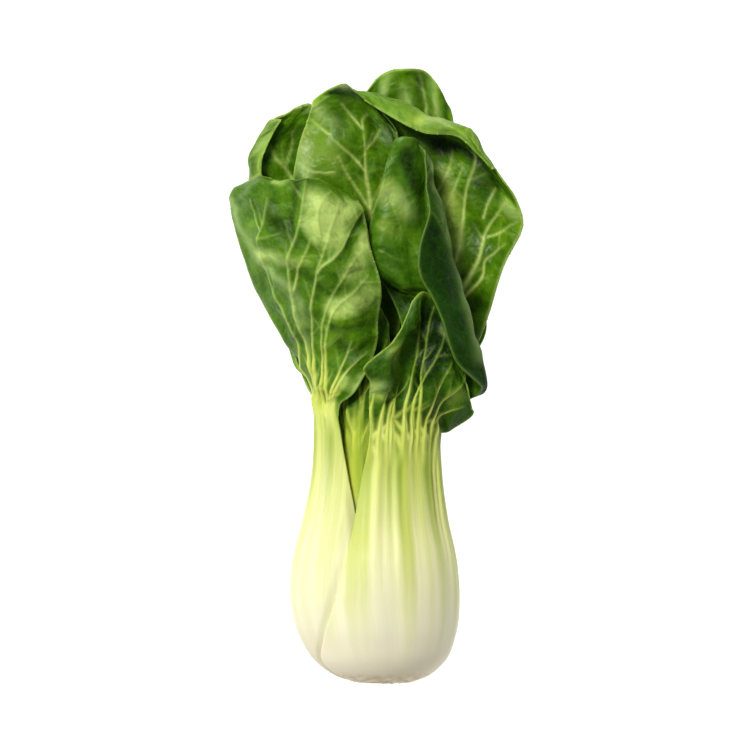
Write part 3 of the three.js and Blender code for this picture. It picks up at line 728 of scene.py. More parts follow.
    def build(self, materials: dict[Skin, tuple]) -> bpy.types.Object:
        """Makes the leaf's closed mesh and gives it its finish.

        Args:
            materials: underside and upper face of each finish.

        Returns:
            The leaf's object.
        """
        grid = self.lay_out()
        outer, inner, values = self.sheet(grid)
        index = np.arange(grid.x.size).reshape(grid.x.shape)
        corners = (index[:-1, :-1], index[:-1, 1:], index[1:, 1:], index[1:, :-1])
        a, b, c, d = (corner.ravel() for corner in corners)
        front = np.stack([a, b, c, d], axis=1)
        back = np.stack([a, d, c, b], axis=1) + index.size
        ring = np.concatenate([index[0, :], index[1:, -1], index[-1, -2::-1], index[-2:0:-1, 0]])
        after = np.roll(ring, -1)
        rim = np.stack([ring, ring + index.size, after + index.size, after], axis=1)
        points = np.concatenate([outer.reshape(-1, 3), inner.reshape(-1, 3)])
        mesh = smooth_mesh(self.name, points, np.concatenate([front, back, rim]).tolist())
        mesh.polygons.foreach_set("material_index", [0] * len(front) + [1] * len(back) + [0] * len(rim))
        for name in SURFACE_VALUES:
            both = np.tile(values[name].ravel(), 2).astype(np.float32)
            mesh.attributes.new(name, "FLOAT", "POINT").data.foreach_set("value", both)
        flat = np.stack([grid.x, np.tile(grid.y[:, None], len(grid.u)), np.zeros_like(grid.x)], axis=2)
        flat = np.tile(flat.reshape(-1, 3), (2, 1)).astype(np.float32).ravel()
        mesh.attributes.new("flat", "FLOAT_VECTOR", "POINT").data.foreach_set("vector", flat)
        for material in materials[self.skin]:
            mesh.materials.append(material)
        mesh.update()
        middle = ((outer + inner) / 2)[int(np.searchsorted(grid.v, self.stalk_end - 0.4)):]
        self.edge_chain = np.concatenate([middle[:, 0], middle[-1, 1:-1], middle[::-1, -1]])
        piece = place_object(self.name, mesh)
        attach(piece, "root")
        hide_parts(f"{self.name}_stalk", f"{self.name}_blade")
        return piece

    def dress(self, tree: bpy.types.NodeTree, material: bpy.types.Material) -> bpy.types.Object:
        """The thickened pale margin of the blade, with its small beads where veins end.

        Args:
            tree: the node tree that turns a chain of points into the margin.
            material: the margin's material.

        Returns:
            The margin's object.
        """
        mesh = bpy.data.meshes.new(f"{self.name}_margin")
        links = [(i, i + 1) for i in range(len(self.edge_chain) - 1)]
        mesh.from_pydata(to_frame(self.edge_chain), links, [])
        start = place_object(f"{self.name}_margin_path", mesh)
        piece = run_nodes(start, tree, f"{self.name}_margin", {"Material": material, "Seed": self.seed})
        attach(piece, "root")
        return piece


def run_nodes(start: bpy.types.Object, tree: bpy.types.NodeTree, name: str,
              values: dict) -> bpy.types.Object:
    """Runs a geometry node tree on an object and keeps the result as a plain mesh.

    Args:
        start: the object that the tree starts from; it is removed.
        tree: the geometry node tree.
        name: the name of the new object.
        values: the tree's inputs by name.

    Returns:
        The new object, at the origin.
    """
    modifier = start.modifiers.new("nodes", "NODES")
    modifier.node_group = tree
    for item in tree.interface.items_tree:
        if item.item_type == "SOCKET" and item.in_out == "INPUT" and item.name in values:
            modifier[item.identifier] = values[item.name]
    start.update_tag()
    bpy.context.view_layer.update()
    evaluated = start.evaluated_get(bpy.context.evaluated_depsgraph_get())
    mesh = bpy.data.meshes.new_from_object(evaluated)
    mesh.name = name
    mesh.polygons.foreach_set("use_smooth", [True] * len(mesh.polygons))
    bpy.data.objects.remove(start)
    return place_object(name, mesh)


def add(tree: bpy.types.NodeTree, kind: str, inputs: dict | None = None, **settings) -> bpy.types.Node:
    """Adds a node with its settings, input values and links.

    Args:
        tree: the tree that the node goes into.
        kind: the node's type.
        inputs: values or sockets for the node's inputs, by name or number.
        settings: the node's own settings.

    Returns:
        The node.
    """
    made = tree.nodes.new(kind)
    for key, value in settings.items():
        setattr(made, key, value)
    for key, value in (inputs or {}).items():
        if isinstance(value, bpy.types.NodeSocket):
            tree.links.new(value, made.inputs[key])
        else:
            made.inputs[key].default_value = value
    return made


def linear(colour: str) -> tuple[float, float, float, float]:
    """An sRGB hex colour as linear RGBA."""
    parts = [int(colour[i:i + 2], 16) / 255 for i in (0, 2, 4)]
    return (*[p / 12.92 if p <= 0.04045 else ((p + 0.055) / 1.055) ** 2.4 for p in parts], 1.0)


def ramp(tree: bpy.types.NodeTree, value: bpy.types.NodeSocket, stops: list) -> bpy.types.NodeSocket:
    """A colour read from a value by stops of (place, hex colour)."""
    made = add(tree, "ShaderNodeValToRGB", {"Fac": value})
    elements = made.color_ramp.elements
    while len(elements) < len(stops):
        elements.new(0.5)
    for element, (place, colour) in zip(elements, stops):
        element.position = place
        element.color = linear(colour)
    return made.outputs["Color"]


def span(tree: bpy.types.NodeTree, value: bpy.types.NodeSocket, low: float, high: float,
         start: float = 0.0, stop: float = 1.0) -> bpy.types.NodeSocket:
    """A value carried from the range low..high to the range start..stop, and held there."""
    made = add(tree, "ShaderNodeMapRange", {0: value, 1: low, 2: high, 3: start, 4: stop})
    return made.outputs["Result"]


def blend(tree: bpy.types.NodeTree, share: bpy.types.NodeSocket | float, first, second,
          how: str = "MIX") -> bpy.types.NodeSocket:
    """Two colours mixed; a colour is a socket or an sRGB hex string."""
    first = linear(first) if isinstance(first, str) else first
    second = linear(second) if isinstance(second, str) else second
    made = add(tree, "ShaderNodeMix", {0: share, 6: first, 7: second}, data_type="RGBA", blend_type=how)
    return made.outputs[2]


def sums(tree: bpy.types.NodeTree, how: str, first, second) -> bpy.types.NodeSocket:
    """One step of arithmetic on two values."""
    return add(tree, "ShaderNodeMath", {0: first, 1: second}, operation=how).outputs[0]


def times(tree: bpy.types.NodeTree, first, second) -> bpy.types.NodeSocket:
    """The product of two values."""
    return sums(tree, "MULTIPLY", first, second)


def noise(tree: bpy.types.NodeTree, vector: bpy.types.NodeSocket, size: float, detail: float,
          roughness: float = 0.5, distortion: float = 0.0) -> bpy.types.NodeSocket:
    """Soft noise of a size in the units of its vector, here mm for a leaf."""
    return add(tree, "ShaderNodeTexNoise", {
        "Vector": vector, "Scale": 1 / size, "Detail": detail, "Roughness": roughness,
        "Distortion": distortion}).outputs["Fac"]


def drawn_out(tree: bpy.types.NodeTree, vector: bpy.types.NodeSocket, scale: tuple, detail: float,
              roughness: float = 0.5) -> bpy.types.NodeSocket:
    """Noise drawn out lengthwise by its scale along each axis."""
    moved = add(tree, "ShaderNodeMapping", {"Vector": vector, "Scale": scale}).outputs[0]
    return noise(tree, moved, 1.0, detail, roughness)


def cell_edges(tree: bpy.types.NodeTree, vector: bpy.types.NodeSocket,
               size: float) -> bpy.types.NodeSocket:
    """Distance to the nearest edge of a net of cells of a size, as a share of that size."""
    return add(tree, "ShaderNodeTexVoronoi", {"Vector": vector, "Scale": 1 / size},
               feature="DISTANCE_TO_EDGE").outputs["Distance"]


def new_material(name: str) -> bpy.types.Material:
    """A material with an empty node tree."""
    material = bpy.data.materials.new(name)
    material.use_nodes = True
    material.node_tree.nodes.clear()
    return material


def finish_material(material: bpy.types.Material, shader: bpy.types.Node) -> bpy.types.Material:
    """The material, with this shader as its surface."""
    add(material.node_tree, "ShaderNodeOutputMaterial", {"Surface": shader.outputs["BSDF"]})
    return material


@dataclass(frozen=True)
class LeafFinish:
    """Fresh leaf and stalk: waxy skin over wet green tissue, with pale veins and a cream stalk.

    The greens change softly in patches, so that the eye reads tissue of uneven depth. Veins and the
    margin are paler; folds get painted shade, bulges painted highlight and some patches painted sheen,
    which keeps the blade from looking like dyed card.
    """

    name: str
    greens: tuple[str, str, str]
    under_greens: tuple[str, str, str]
    vein: str
    stalk: tuple = ((0.0, "efdfbc"), (0.07, "faf1d6"), (0.2, "faf6d8"), (0.5, "f2f2b8"), (0.75, "e2e886"),
                    (1.0, "c4d45c"))
    contrast: float = 0.85
    bands: float = 0.75
    # Colours of the painted shade in folds, the painted highlight on bulges and the painted sheen
    fold_shade: str = "0e2e02"
    painted_highlight: str = "b8cf62"
    painted_sheen_colour: str = "a9c27c"
    stalk_band: str = "c8d364"
    stalk_streak: str = "b9ca55"
    stalk_light: str = "fdfbe6"
    # Colour of the painted shade in the stalk's grooves
    stalk_groove_shade: str = "86a42c"
    foot_brown: str = "b09a6a"
    roughness: float = 0.36

    def build(self) -> tuple[bpy.types.Material, bpy.types.Material]:
        """Makes the materials of the underside and of the upper face, in this order."""
        upper = self.skin(f"{self.name}_upper_face", self.greens, True)
        return self.skin(f"{self.name}_underside", self.under_greens, False), upper

    def skin(self, name: str, greens: tuple, upper: bool) -> bpy.types.Material:
        """One face of the leaf.

        Args:
            name: the material's name.
            greens: dark, middle and light sRGB hex colours.
            upper: whether this is the glossier upper face.

        Returns:
            The material.
        """
        material = new_material(name)
        tree = material.node_tree
        read = {key: add(tree, "ShaderNodeAttribute", attribute_name=key).outputs["Fac"]
                for key in SURFACE_VALUES}
        flat = add(tree, "ShaderNodeAttribute", attribute_name="flat").outputs["Vector"]
        lengthwise = add(tree, "ShaderNodeCombineXYZ", {
            0: read["grain"], 1: times(tree, read["tone"], TONE_LENGTH)}).outputs[0]
        patches = noise(tree, flat, PATCH_SIZE, 3.0, 0.6, 0.6)
        small = noise(tree, flat, MOTTLE_SIZE, 2.0, 0.55)
        streaks = drawn_out(tree, lengthwise, (0.6, 0.02, 1.0), 4.0, 0.6)
        bend = add(tree, "ShaderNodeTexNoise", {
            "Vector": flat, "Scale": 1 / NET_BEND_SIZE, "Detail": 1.0})
        bent = add(tree, "ShaderNodeVectorMath", {0: flat, 1: bend.outputs["Color"]},
                   operation="ADD").outputs[0]
        net = cell_edges(tree, bent, NET_SIZE)

        blade = self.blade_colour(tree, greens, read, patches, small)
        coarse = cell_edges(tree, bent, COARSE_NET_SIZE)
        for cells, line, share in ((net, 0.11, 0.035), (coarse, 0.045, 0.05)):
            blade = blend(tree, times(tree, span(tree, cells, 0.0, line, 1, 0), share), blade, self.vein)
        for key, share in (("fine", self.contrast * 0.5), ("vein", self.contrast), ("rim", 0.45)):
            blade = blend(tree, times(tree, read[key], share), blade, self.vein)
        stalk = self.stalk_colour(tree, read, lengthwise, streaks, small)
        colour = blend(tree, read["pale"], blade, stalk)

        # Blisters and the vein net raise the blade, fine strings the stalk
        blisters = noise(tree, flat, BLISTER_SIZE, 1.6, distortion=0.6)
        height = times(tree, span(tree, net, 0.0, 0.3), 0.4)
        height = sums(tree, "ADD", height, times(tree, small, 0.5))
        height = sums(tree, "ADD", height, times(tree, blisters, 8.0))
        height = times(tree, height, sums(tree, "SUBTRACT", 1.0, read["pale"]))
        height = sums(tree, "ADD", height, times(tree, streaks, 0.7))
        bump = add(tree, "ShaderNodeBump", {"Height": height, "Strength": 0.6, "Distance": 0.0003})
        rough = span(tree, small, 0.2, 0.8, self.roughness - 0.04, self.roughness + 0.12)
        if not upper:
            rough = sums(tree, "ADD", rough, 0.06)
        shader = add(tree, "ShaderNodeBsdfPrincipled", {
            "Base Color": colour, "Roughness": rough, "Normal": bump.outputs["Normal"], "IOR": 1.42,
            "Subsurface Weight": 0.1, "Subsurface Radius": (0.6, 1.0, 0.3), "Subsurface Scale": 0.002,
            "Coat Weight": 0.06 if upper else 0.02, "Coat Roughness": 0.3,
            "Specular IOR Level": 0.28 if upper else 0.24})
        return finish_material(material, shader)

    def blade_colour(self, tree: bpy.types.NodeTree, greens: tuple, read: dict,
                     patches: bpy.types.NodeSocket, small: bpy.types.NodeSocket) -> bpy.types.NodeSocket:
        """The blade's green with painted shade in folds, highlight on bulges and sheen, without the
        veins.

        Args:
            tree: the material's tree.
            greens: dark, middle and light sRGB hex colours.
            read: the leaf's own values by name.
            patches: broad noise.
            small: fine noise.

        Returns:
            The colour.
        """
        dark, middle, light = greens
        colour = blend(tree, span(tree, patches, 0.32, 0.62), dark, middle)
        colour = blend(tree, span(tree, patches, 0.55, 0.8, 0, 0.7), colour, light)
        colour = blend(tree, span(tree, small, 0.3, 0.75, 0, 0.35), colour, light)
        # Painted shade in folds and highlight on bulges keep an uneven edge, as light has on puckered
        # leaf
        uneven = sums(tree, "ADD", span(tree, small, 0.3, 0.7, -0.32, 0.32),
                      span(tree, patches, 0.35, 0.65, -0.15, 0.15))
        amount = sums(tree, "ABSOLUTE", read["shade_highlight_and_relief"], 0)
        fold_shade = sums(tree, "ADD", read["shade_highlight_and_relief"], times(tree, uneven, amount))
        colour = blend(tree, span(tree, fold_shade, 0.12, 0.8, 0, 0.95), colour, self.fold_shade)
        colour = blend(tree, span(tree, fold_shade, -0.12, -0.95, 0, 0.75), colour, self.painted_highlight)
        # Patches of painted sheen
        return blend(tree, times(tree, read["painted_sheen"], 0.6), colour, self.painted_sheen_colour)

    def stalk_colour(self, tree: bpy.types.NodeTree, read: dict, lengthwise: bpy.types.NodeSocket,
                     streaks: bpy.types.NodeSocket, small: bpy.types.NodeSocket) -> bpy.types.NodeSocket:
        """The stalk, cream at its foot to yellow-green, with green bands, streaks and painted shade in
        grooves.

        Args:
            tree: the material's tree.
            read: the leaf's own values by name.
            lengthwise: the place round and along the stalk.
            streaks: noise drawn out along the stalk.
            small: fine noise.

        Returns:
            The colour.
        """
        tone = read["tone"]
        bands = drawn_out(tree, lengthwise, (0.16, 0.005, 1.0), 1.0)
        stalk = ramp(tree, tone, list(self.stalk))
        banded = times(tree, span(tree, bands, 0.42, 0.58), span(tree, tone, 0.08, 0.5, 0.0, self.bands))
        stalk = blend(tree, banded, stalk, self.stalk_band)
        streaked = times(tree, span(tree, streaks, 0.42, 0.7), span(tree, tone, 0.15, 0.8, 0.0, 0.4))
        stalk = blend(tree, streaked, stalk, self.stalk_streak)
        stalk = blend(tree, span(tree, streaks, 0.45, 0.28, 0, 0.25), stalk, self.stalk_light)
        # Painted shade in the stalk's grooves
        stalk = blend(tree, times(tree, read["groove_shade"], 0.75), stalk, self.stalk_groove_shade)
        # Brown patches at the foot of the stalk, next to the cut stem
        browned_foot = times(tree, span(tree, tone, 0.012, 0.05, 0.75, 0), span(tree, small, 0.35, 0.6))
        return blend(tree, browned_foot, stalk, self.foot_brown)


def piece_tree(name: str, sizes: dict[str, float]) -> tuple[bpy.types.NodeTree, dict]:
    """A geometry node tree with the inputs that every tree here has.

    Args:
        name: the tree's name.
        sizes: its own inputs in metres, by name.

    Returns:
        The tree and the sockets of its inputs.
    """
    tree = bpy.data.node_groups.new(name, "GeometryNodeTree")
    face = tree.interface
    face.new_socket("Geometry", in_out="INPUT", socket_type="NodeSocketGeometry")
    for size, value in sizes.items():
        face.new_socket(size, in_out="INPUT", socket_type="NodeSocketFloat").default_value = value
    face.new_socket("Seed", in_out="INPUT", socket_type="NodeSocketInt")
    face.new_socket("Material", in_out="INPUT", socket_type="NodeSocketMaterial")
    face.new_socket("Geometry", in_out="OUTPUT", socket_type="NodeSocketGeometry")
    return tree, add(tree, "NodeGroupInput").outputs


def scattered(tree: bpy.types.NodeTree, given: dict, points: bpy.types.NodeSocket,
              radius: str, sizes: tuple) -> bpy.types.NodeSocket:
    """Small balls of random size on points.

    Args:
        tree: the tree that they are made in.
        given: the sockets of the tree's inputs.
        points: the points.
        radius: the name of the input with their radius.
        sizes: smallest and largest size.

    Returns:
        The balls, as instances.
    """
    ball = add(tree, "GeometryNodeMeshIcoSphere", {"Radius": given[radius], "Subdivisions": 2})
    size = add(tree, "FunctionNodeRandomValue", {2: sizes[0], 3: sizes[1], "Seed": given["Seed"]},
               data_type="FLOAT")
    balls = add(tree, "GeometryNodeInstanceOnPoints", {
        "Points": points, "Instance": ball.outputs["Mesh"], "Scale": size.outputs[1]})
    return balls.outputs["Instances"]


def end_tree(tree: bpy.types.NodeTree, given: dict, geometry: bpy.types.NodeSocket) -> bpy.types.NodeTree:
    """Ends a tree: its geometry made real, with its material."""
    real = add(tree, "GeometryNodeRealizeInstances", {"Geometry": geometry})
    done = add(tree, "GeometryNodeSetMaterial", {"Geometry": real.outputs["Geometry"],
                                                 "Material": given["Material"]})
    add(tree, "NodeGroupOutput", {"Geometry": done.outputs["Geometry"]})
    return tree


def margin_tree() -> bpy.types.NodeTree:
    """Node tree: a chain of points becomes a thin rounded margin with beads spaced along it."""
    tree, given = piece_tree("leaf_margin", {
        "Radius": 0.00028, "Step": 0.0007, "Bead spacing": 0.0034, "Bead radius": 0.00042})
    curve = add(tree, "GeometryNodeMeshToCurve", {"Mesh": given["Geometry"]}).outputs["Curve"]
    even, spots = (add(tree, "GeometryNodeResampleCurve", {"Curve": curve, "Length": given[length]},
                       mode="LENGTH").outputs["Curve"] for length in ("Step", "Bead spacing"))
    ring = add(tree, "GeometryNodeCurvePrimitiveCircle", {"Resolution": 6, "Radius": given["Radius"]})
    tube = add(tree, "GeometryNodeCurveToMesh", {
        "Curve": even, "Profile Curve": ring.outputs["Curve"], "Fill Caps": True})
    joined = add(tree, "GeometryNodeJoinGeometry")
    tree.links.new(tube.outputs["Mesh"], joined.inputs["Geometry"])
    tree.links.new(scattered(tree, given, spots, "Bead radius", (0.45, 1.1)), joined.inputs["Geometry"])
    return end_tree(tree, given, joined.outputs["Geometry"])


def bundle_tree() -> bpy.types.NodeTree:
    """Node tree: every point becomes a small low dome of a vascular bundle."""
    tree, given = piece_tree("stem_bundles", {"Radius": 0.0005})
    return end_tree(tree, given, scattered(tree, given, given["Geometry"], "Radius", (0.7, 1.3)))


# The leaves, outer ring first. Each of the blade's rows runs across the leaf in the sense of growing
# angle, and chains are (x, distance from the butt), as the camera sees them
# Besides the veins, each leaf lists spots of painted shade and highlight and patches of painted sheen, as
# chains seen from above
LEAVES = [
    Leaf(
        "front_right", Ring.OUTER,
        span_from=[(0, -64), (8, -60), (15, -44), (27, -28), (40, -21), (60, -16), (73, -12), (82, -6)],
        span_to=[(0, 106), (40, 109), (70, 106), (82, 100)],
        upper_rows=(80,),
        rows=[
            [(-2, 93, 38), (3, 92.5, 40.5), (8.5, 93, 37), (14.5, 92.5, 38.5), (19, 91, 36.5),
             (22.5, 89, 33), (25, 82.5, 26)],
            [(-1.5, 97.5, 39.5), (4, 97.5, 43), (10, 99.5, 35.5), (15.5, 99.5, 38.5), (21.5, 98, 38.5),
             (26.5, 94.5, 35.5), (31.5, 87.5, 28.5)],
            [(-3.5, 103, 45), (5, 104.5, 46), (11, 106, 37.5), (17, 106.5, 39), (23, 104.5, 39),
             (27, 100, 36.5), (30, 92, 32.5)],
            [(5.5, 110.5, 46), (10, 111.5, 45), (13.5, 112.5, 39.5), (18.5, 113, 39), (23, 111, 39),
             (26.5, 106, 37.5), (29, 98, 35)],
            [(10, 119, 45), (13, 119.5, 44), (16.5, 120.5, 40.5), (19.5, 120.5, 39), (23, 118.5, 38.5),
             (26, 114, 38), (27.5, 107.5, 37)],
            [(13.5, 128.5, 43.5), (15.5, 127.5, 42.5), (17.5, 126, 41), (20, 125, 39.5),
             (22.5, 123, 38.5), (24.5, 120, 38.5), (26, 115.5, 38)],
        ],
        ribs=5, rib=0.7, wave=(0.7, 3, 0.4), tip=0.5, spacing=0.5, wing=0, seed=11, slot="outer_blade",
        skin=Skin.OUTER_DARK,
        held=(
            (0.7, ((-2.5, 68), (-2, 80), (-1.5, 90), (0, 95))),
            (0.6, ((0.5, 68), (1, 80), (2.5, 90), (4.5, 96))),
            (0.6, ((4.5, 68), (5, 80), (6, 91), (7.5, 98))),
            (0.7, rooted((9, 82.5), (9.5, 90.5), (11.5, 98), (13.5, 108.5), (14.5, 118),
              (14.5, 124.5))),
            (0.6, rooted((13.5, 82.5), (14.5, 92.5), (15, 102), (16.5, 113), (19, 123))),
            (0.8, rooted((16, 84), (18, 89.5), (20, 95), (23, 101), (25.5, 105))),
            (0.9, rooted((18, 83), (20, 88.5), (22.5, 92.5), (26.5, 96), (30.5, 101))),
            (0.5, rooted((11.5, 83), (12.5, 92.5), (17.5, 102.5), (21, 108.5), (22.5, 115))),
            (0.4, rooted((4, 84), (6, 92.5), (9, 96), (11, 99.5))),
            (0.4, rooted((20, 82.5), (21, 86.5), (24.5, 89), (29, 90.5))),
        ),
        painted_sheen=(
            (2, ((-1, 95), (1, 97), (3.5, 95))),
            (1.2, ((34.5, 95), (30.5, 101.5), (25.5, 108.5), (21, 115))),
        ),
        shade_and_highlight_spots=(
            (5, 0.95, ((19.5, 115), (18, 107.5), (17.5, 100.5))),
            (2.5, -0.9, ((-1, 97), (0.5, 94), (2, 92.5))),
            (2.5, 0.9, ((16.5, 121.5), (16, 111.5), (14.5, 102), (12, 93))),
            (3.5, -0.5, ((6.5, 108.5), (8, 103.5))), (3, -0.5, ((24.5, 93), (29, 94.5))),
            (5, 0.9, ((24.5, 113), (21.5, 107.5))), (2, 0.7, ((4.5, 91.5), (7.5, 89))),
        ),
    ),
    Leaf(
        "front_left", Ring.OUTER,
        span_from=[(0, -141), (40, -139), (70, -128), (90, -108)],
        span_to=[(0, -57), (8, -53), (15, -37), (27, -21), (40, -14), (50, -16), (60, -21.5), (73, -31),
                 (82, -37), (92, -38.5)],
        upper_rows=(80, 90),
        rows=[
            [(-23, 103, 22.5), (-21.5, 101.5, 28.5), (-18, 99.5, 33), (-13, 97, 35.5),
             (-6.5, 95.5, 37.5)],
            [(-29.5, 110, 22), (-25, 110, 30), (-18, 109.5, 35.5), (-8.5, 107.5, 38.5),
             (-0.5, 107.5, 37)],
            [(-36.6, 123, 22), (-28.5, 122.5, 34), (-18.5, 120.5, 40.5), (-8, 118.5, 42), (1, 118, 39.5)],
            [(-42, 135, 24), (-32.5, 134, 38), (-21, 132.5, 44.5), (-10, 130.5, 45), (1.5, 129, 41.5)],
            [(-45.5, 147, 24), (-36.5, 145.5, 40), (-25, 144, 47), (-13, 142.5, 47), (-2, 142.5, 43)],
            [(-47.4, 154.5, 24), (-40, 154.5, 38), (-27.5, 154, 46.5), (-14.5, 153, 46), (-4, 153, 42)],
            [(-47, 159.8, 23), (-40.5, 161, 34), (-29, 163, 43), (-16, 162, 43), (-7.5, 158.5, 40)],
            [(-45.5, 162.5, 24), (-39, 164, 30), (-28.5, 164, 38.5), (-17, 162.5, 39.5), (-9, 160, 38)],
        ],
        ribs=4, rib=0.6, wave=(0.9, 3.5, 1.2), tuck_to=True, tuck_until=60, tip=0.4, spacing=0.5,
        dents=1.0, seed=12, slot="outer_blade", skin=Skin.OUTER_LIGHT,
        held=(
            (1, rooted((-20.5, 91.5), (-22, 98.5), (-24.5, 108.5), (-28, 118), (-33.5, 127.5),
              (-36, 133.5), (-37.5, 139), (-36.5, 146.5), (-35, 152), (-34.5, 158))),
            (0.4, ((-36.5, 146.5), (-39, 150.5), (-40.5, 157))),
            (0.9, rooted((-19, 92.5), (-20.5, 102), (-23.5, 113), (-26.5, 124.5), (-28, 132.5),
              (-27.5, 139), (-25, 145.5), (-23.5, 153.5), (-22, 163))),
            (0.5, ((-26, 127), (-25, 133.5), (-22.5, 138.5), (-20.5, 144))),
            (0.8, rooted((-18.5, 92.5), (-20, 103.5), (-20.5, 115), (-20.5, 124.5), (-19.5, 131),
              (-17.5, 137), (-15.5, 142.5), (-13.5, 149.5), (-11.5, 156))),
            (0.6, ((-19, 132.5), (-17.5, 134.5), (-13, 138), (-9.5, 142.5), (-7.5, 147), (-5.5, 151),
              (-3, 153.5))),
            (0.3, ((-17.5, 144), (-18.5, 152), (-17, 156), (-14, 159))),
            (0.6, rooted((-17.5, 92.5), (-17.5, 108.5), (-17.5, 115.5), (-15.5, 122), (-13, 127),
              (-11, 130.5), (-8, 135), (-6.5, 138.5), (-2.5, 140.5))),
            (0.9, rooted((-15.5, 92.5), (-16.5, 103.5), (-16, 113), (-14.5, 118.5), (-12.5, 122.5),
              (-8, 125.5), (-4.5, 129.5), (-1.5, 133))),
            (0.6, rooted((-14.5, 92.5), (-12.5, 99.5), (-9.5, 106), (-7.5, 111.5))),
            (0.4, rooted((-13.5, 93.5), (-10, 100.5), (-6.5, 104.5), (-2.5, 107.5))),
        ),
        painted_sheen=(
            (2.6, ((-47.5, 157.5), (-45.5, 152), (-42.5, 144.5), (-38, 137.5))),
            (2, ((-36.5, 135), (-32, 131.5), (-27.5, 128.5), (-24.5, 124), (-22.5, 116.5))),
            (1.5, ((-27, 127.5), (-24.5, 118), (-21.5, 107.5))),
        ),
        shade_and_highlight_spots=(
            (5, -0.9, ((-18.5, 155), (-13, 152.5), (-8, 155))), (5, -0.95, ((-19, 146), (-14, 143))),
            (4, -0.7, ((-12, 151), (-11, 145))), (3, -0.8, ((-3, 144), (-5, 137), (-9, 132))),
            (3, -0.8, ((-38, 138.5), (-32.5, 138), (-27, 137), (-22.5, 136.5))),
            (4, -0.9, ((-13, 120.5), (-6.5, 123), (-1, 127))),
            (2.5, -0.7, ((-10, 98), (-6.5, 96), (-4.5, 98.5))),
            (1.5, -0.6, ((-32.5, 162.5), (-30, 161.5), (-27.5, 163))),
            (2.4, 0.65, ((-14, 116), (-8, 116), (1.5, 117))),
            (3, 0.4, ((-40.5, 157), (-36.5, 152.5), (-32.5, 155))),
            (4, 0.7, ((-31, 148), (-27.5, 145.5), (-25, 143))),
            (1.3, 0.9, ((-3, 152), (-6, 147.5), (-8.5, 141.5), (-11.5, 137))),
            (1.5, 0.7, ((-24.5, 164), (-25.5, 157), (-27.5, 148.5))),
            (2.5, 0.5, ((-18, 127.5), (-22, 131), (-24.5, 133))),
            (3, 0.5, ((-11.5, 110), (-6.5, 107.5), (-2.5, 110))),
        ),
    ),
    Leaf(
        "back_left", Ring.OUTER,
        span_from=[(0, 173.5), (60, 173.5), (84, 177)],
        span_to=[(0, 226), (40, 228), (84, 222)],
        upper_rows=(84,),
        rows=[
            [(-3, 96, 7), (-7.5, 97.5, 5.5), (-13, 98.5, 5.5), (-18.5, 97.5, 7), (-22.5, 96, 10)],
            [(-3, 114, 4.5), (-7.5, 116, 2.5), (-13.5, 117, 2), (-21, 116, 2.5), (-27.5, 113.5, 5)],
            [(-2.5, 132.5, 4.5), (-9, 135, 2), (-17.5, 136, 0), (-25.5, 135, 2), (-33.5, 132.5, 5)],
            [(-3.5, 149.5, 5), (-11, 153, 2.5), (-20, 154, -0.4), (-29, 153, 2.5), (-36.5, 149.5, 5.5)],
            [(-6.5, 162.5, 7), (-12, 167, 4.5), (-20, 168.5, 3), (-27.5, 166.5, 4), (-33.5, 162, 6.5)],
            [(-10, 168.5, 10.5), (-14.5, 172.5, 8.5), (-19, 173, 7.5), (-24, 172, 8), (-28, 168, 9.5)],
        ],
        rib=0.5, wave=(0.6, 3, 0), tuck_to=True, tuck_until=62, tip=0.6, spacing=0.9, veins_a_side=6,
        seed=13, slot="outer_blade", skin=Skin.OUTER_LIGHT,
    ),
    Leaf(
        "back_right", Ring.OUTER,
        span_from=[(0, 99), (40, 102), (70, 104), (84, 112)],
        span_to=[(0, 177), (60, 177), (84, 171)],
        upper_rows=(84,),
        rows=[
            [(24, 96, 8), (20, 98, 6), (14.5, 98.5, 5.5), (8.5, 97.5, 6), (4, 96, 7.5)],
            [(35.5, 112.5, 13), (26.5, 114, 5.5), (17, 115.5, 3), (8.5, 115, 3.5), (1.5, 113, 5)],
            [(36, 124.5, 13), (30, 129.5, 5), (19, 131.5, 0.4), (9, 131, 2.5), (1.5, 129.5, 4)],
            [(36.5, 144.5, 10), (29, 148.5, 3.5), (19, 150.5, -0.4), (9.5, 149.5, 2.5), (1.5, 147, 4.5)],
            [(34.5, 159.5, 9), (28, 164.5, 4.5), (19, 167, 2.5), (10.5, 166, 4), (3.5, 161.5, 6.5)],
            [(32, 167.5, 10.5), (26.5, 174, 8), (19.5, 176.5, 7), (12.5, 174.5, 7.5), (6.5, 169.5, 9)],
        ],
        rib=0.5, wave=(0.6, 3, 2), tuck_from=True, tuck_to=True, tuck_until=80, tip=0.6, spacing=0.9,
        veins_a_side=6, seed=14, slot="outer_blade", skin=Skin.OUTER_LIGHT,
    ),
    Leaf(
        "folded_front", Ring.MIDDLE,
        span_from=[(0, 50), (78, 50)],
        span_to=[(0, 107), (50, 103), (78, 104)],
        upper_rows=(76,),
        rows=[
            [(24, 88, 19.5), (23, 89.5, 18.5), (20.5, 90, 18.5), (18, 90, 19), (15.5, 90, 20),
             (13, 89.5, 21.5), (11, 89, 23.5)],
            [(34.5, 96, 38), (35.2, 95, 33), (29.5, 96.5, 27.5), (22.5, 98, 27.5), (17, 98.5, 28),
             (12, 98.5, 28.5), (8, 98, 29)],
            [(25.5, 105.5, 44), (33.5, 106.5, 38), (29, 109, 32.5), (23.5, 109, 32), (18, 109, 32.5),
             (13, 108.5, 32.5), (8.5, 107.5, 32.5)],
            [(21.5, 117.5, 46), (31.5, 116, 39.5), (27, 118, 33.5), (22, 118.5, 32.5),
             (17, 118.5, 32.5), (12.5, 118, 33), (8, 117.5, 33.5)],
            [(18, 125.5, 48), (29, 125, 40), (24, 126, 33.5), (19, 127, 33), (14, 127, 33.5),
             (9.5, 127, 34), (4, 127, 34)],
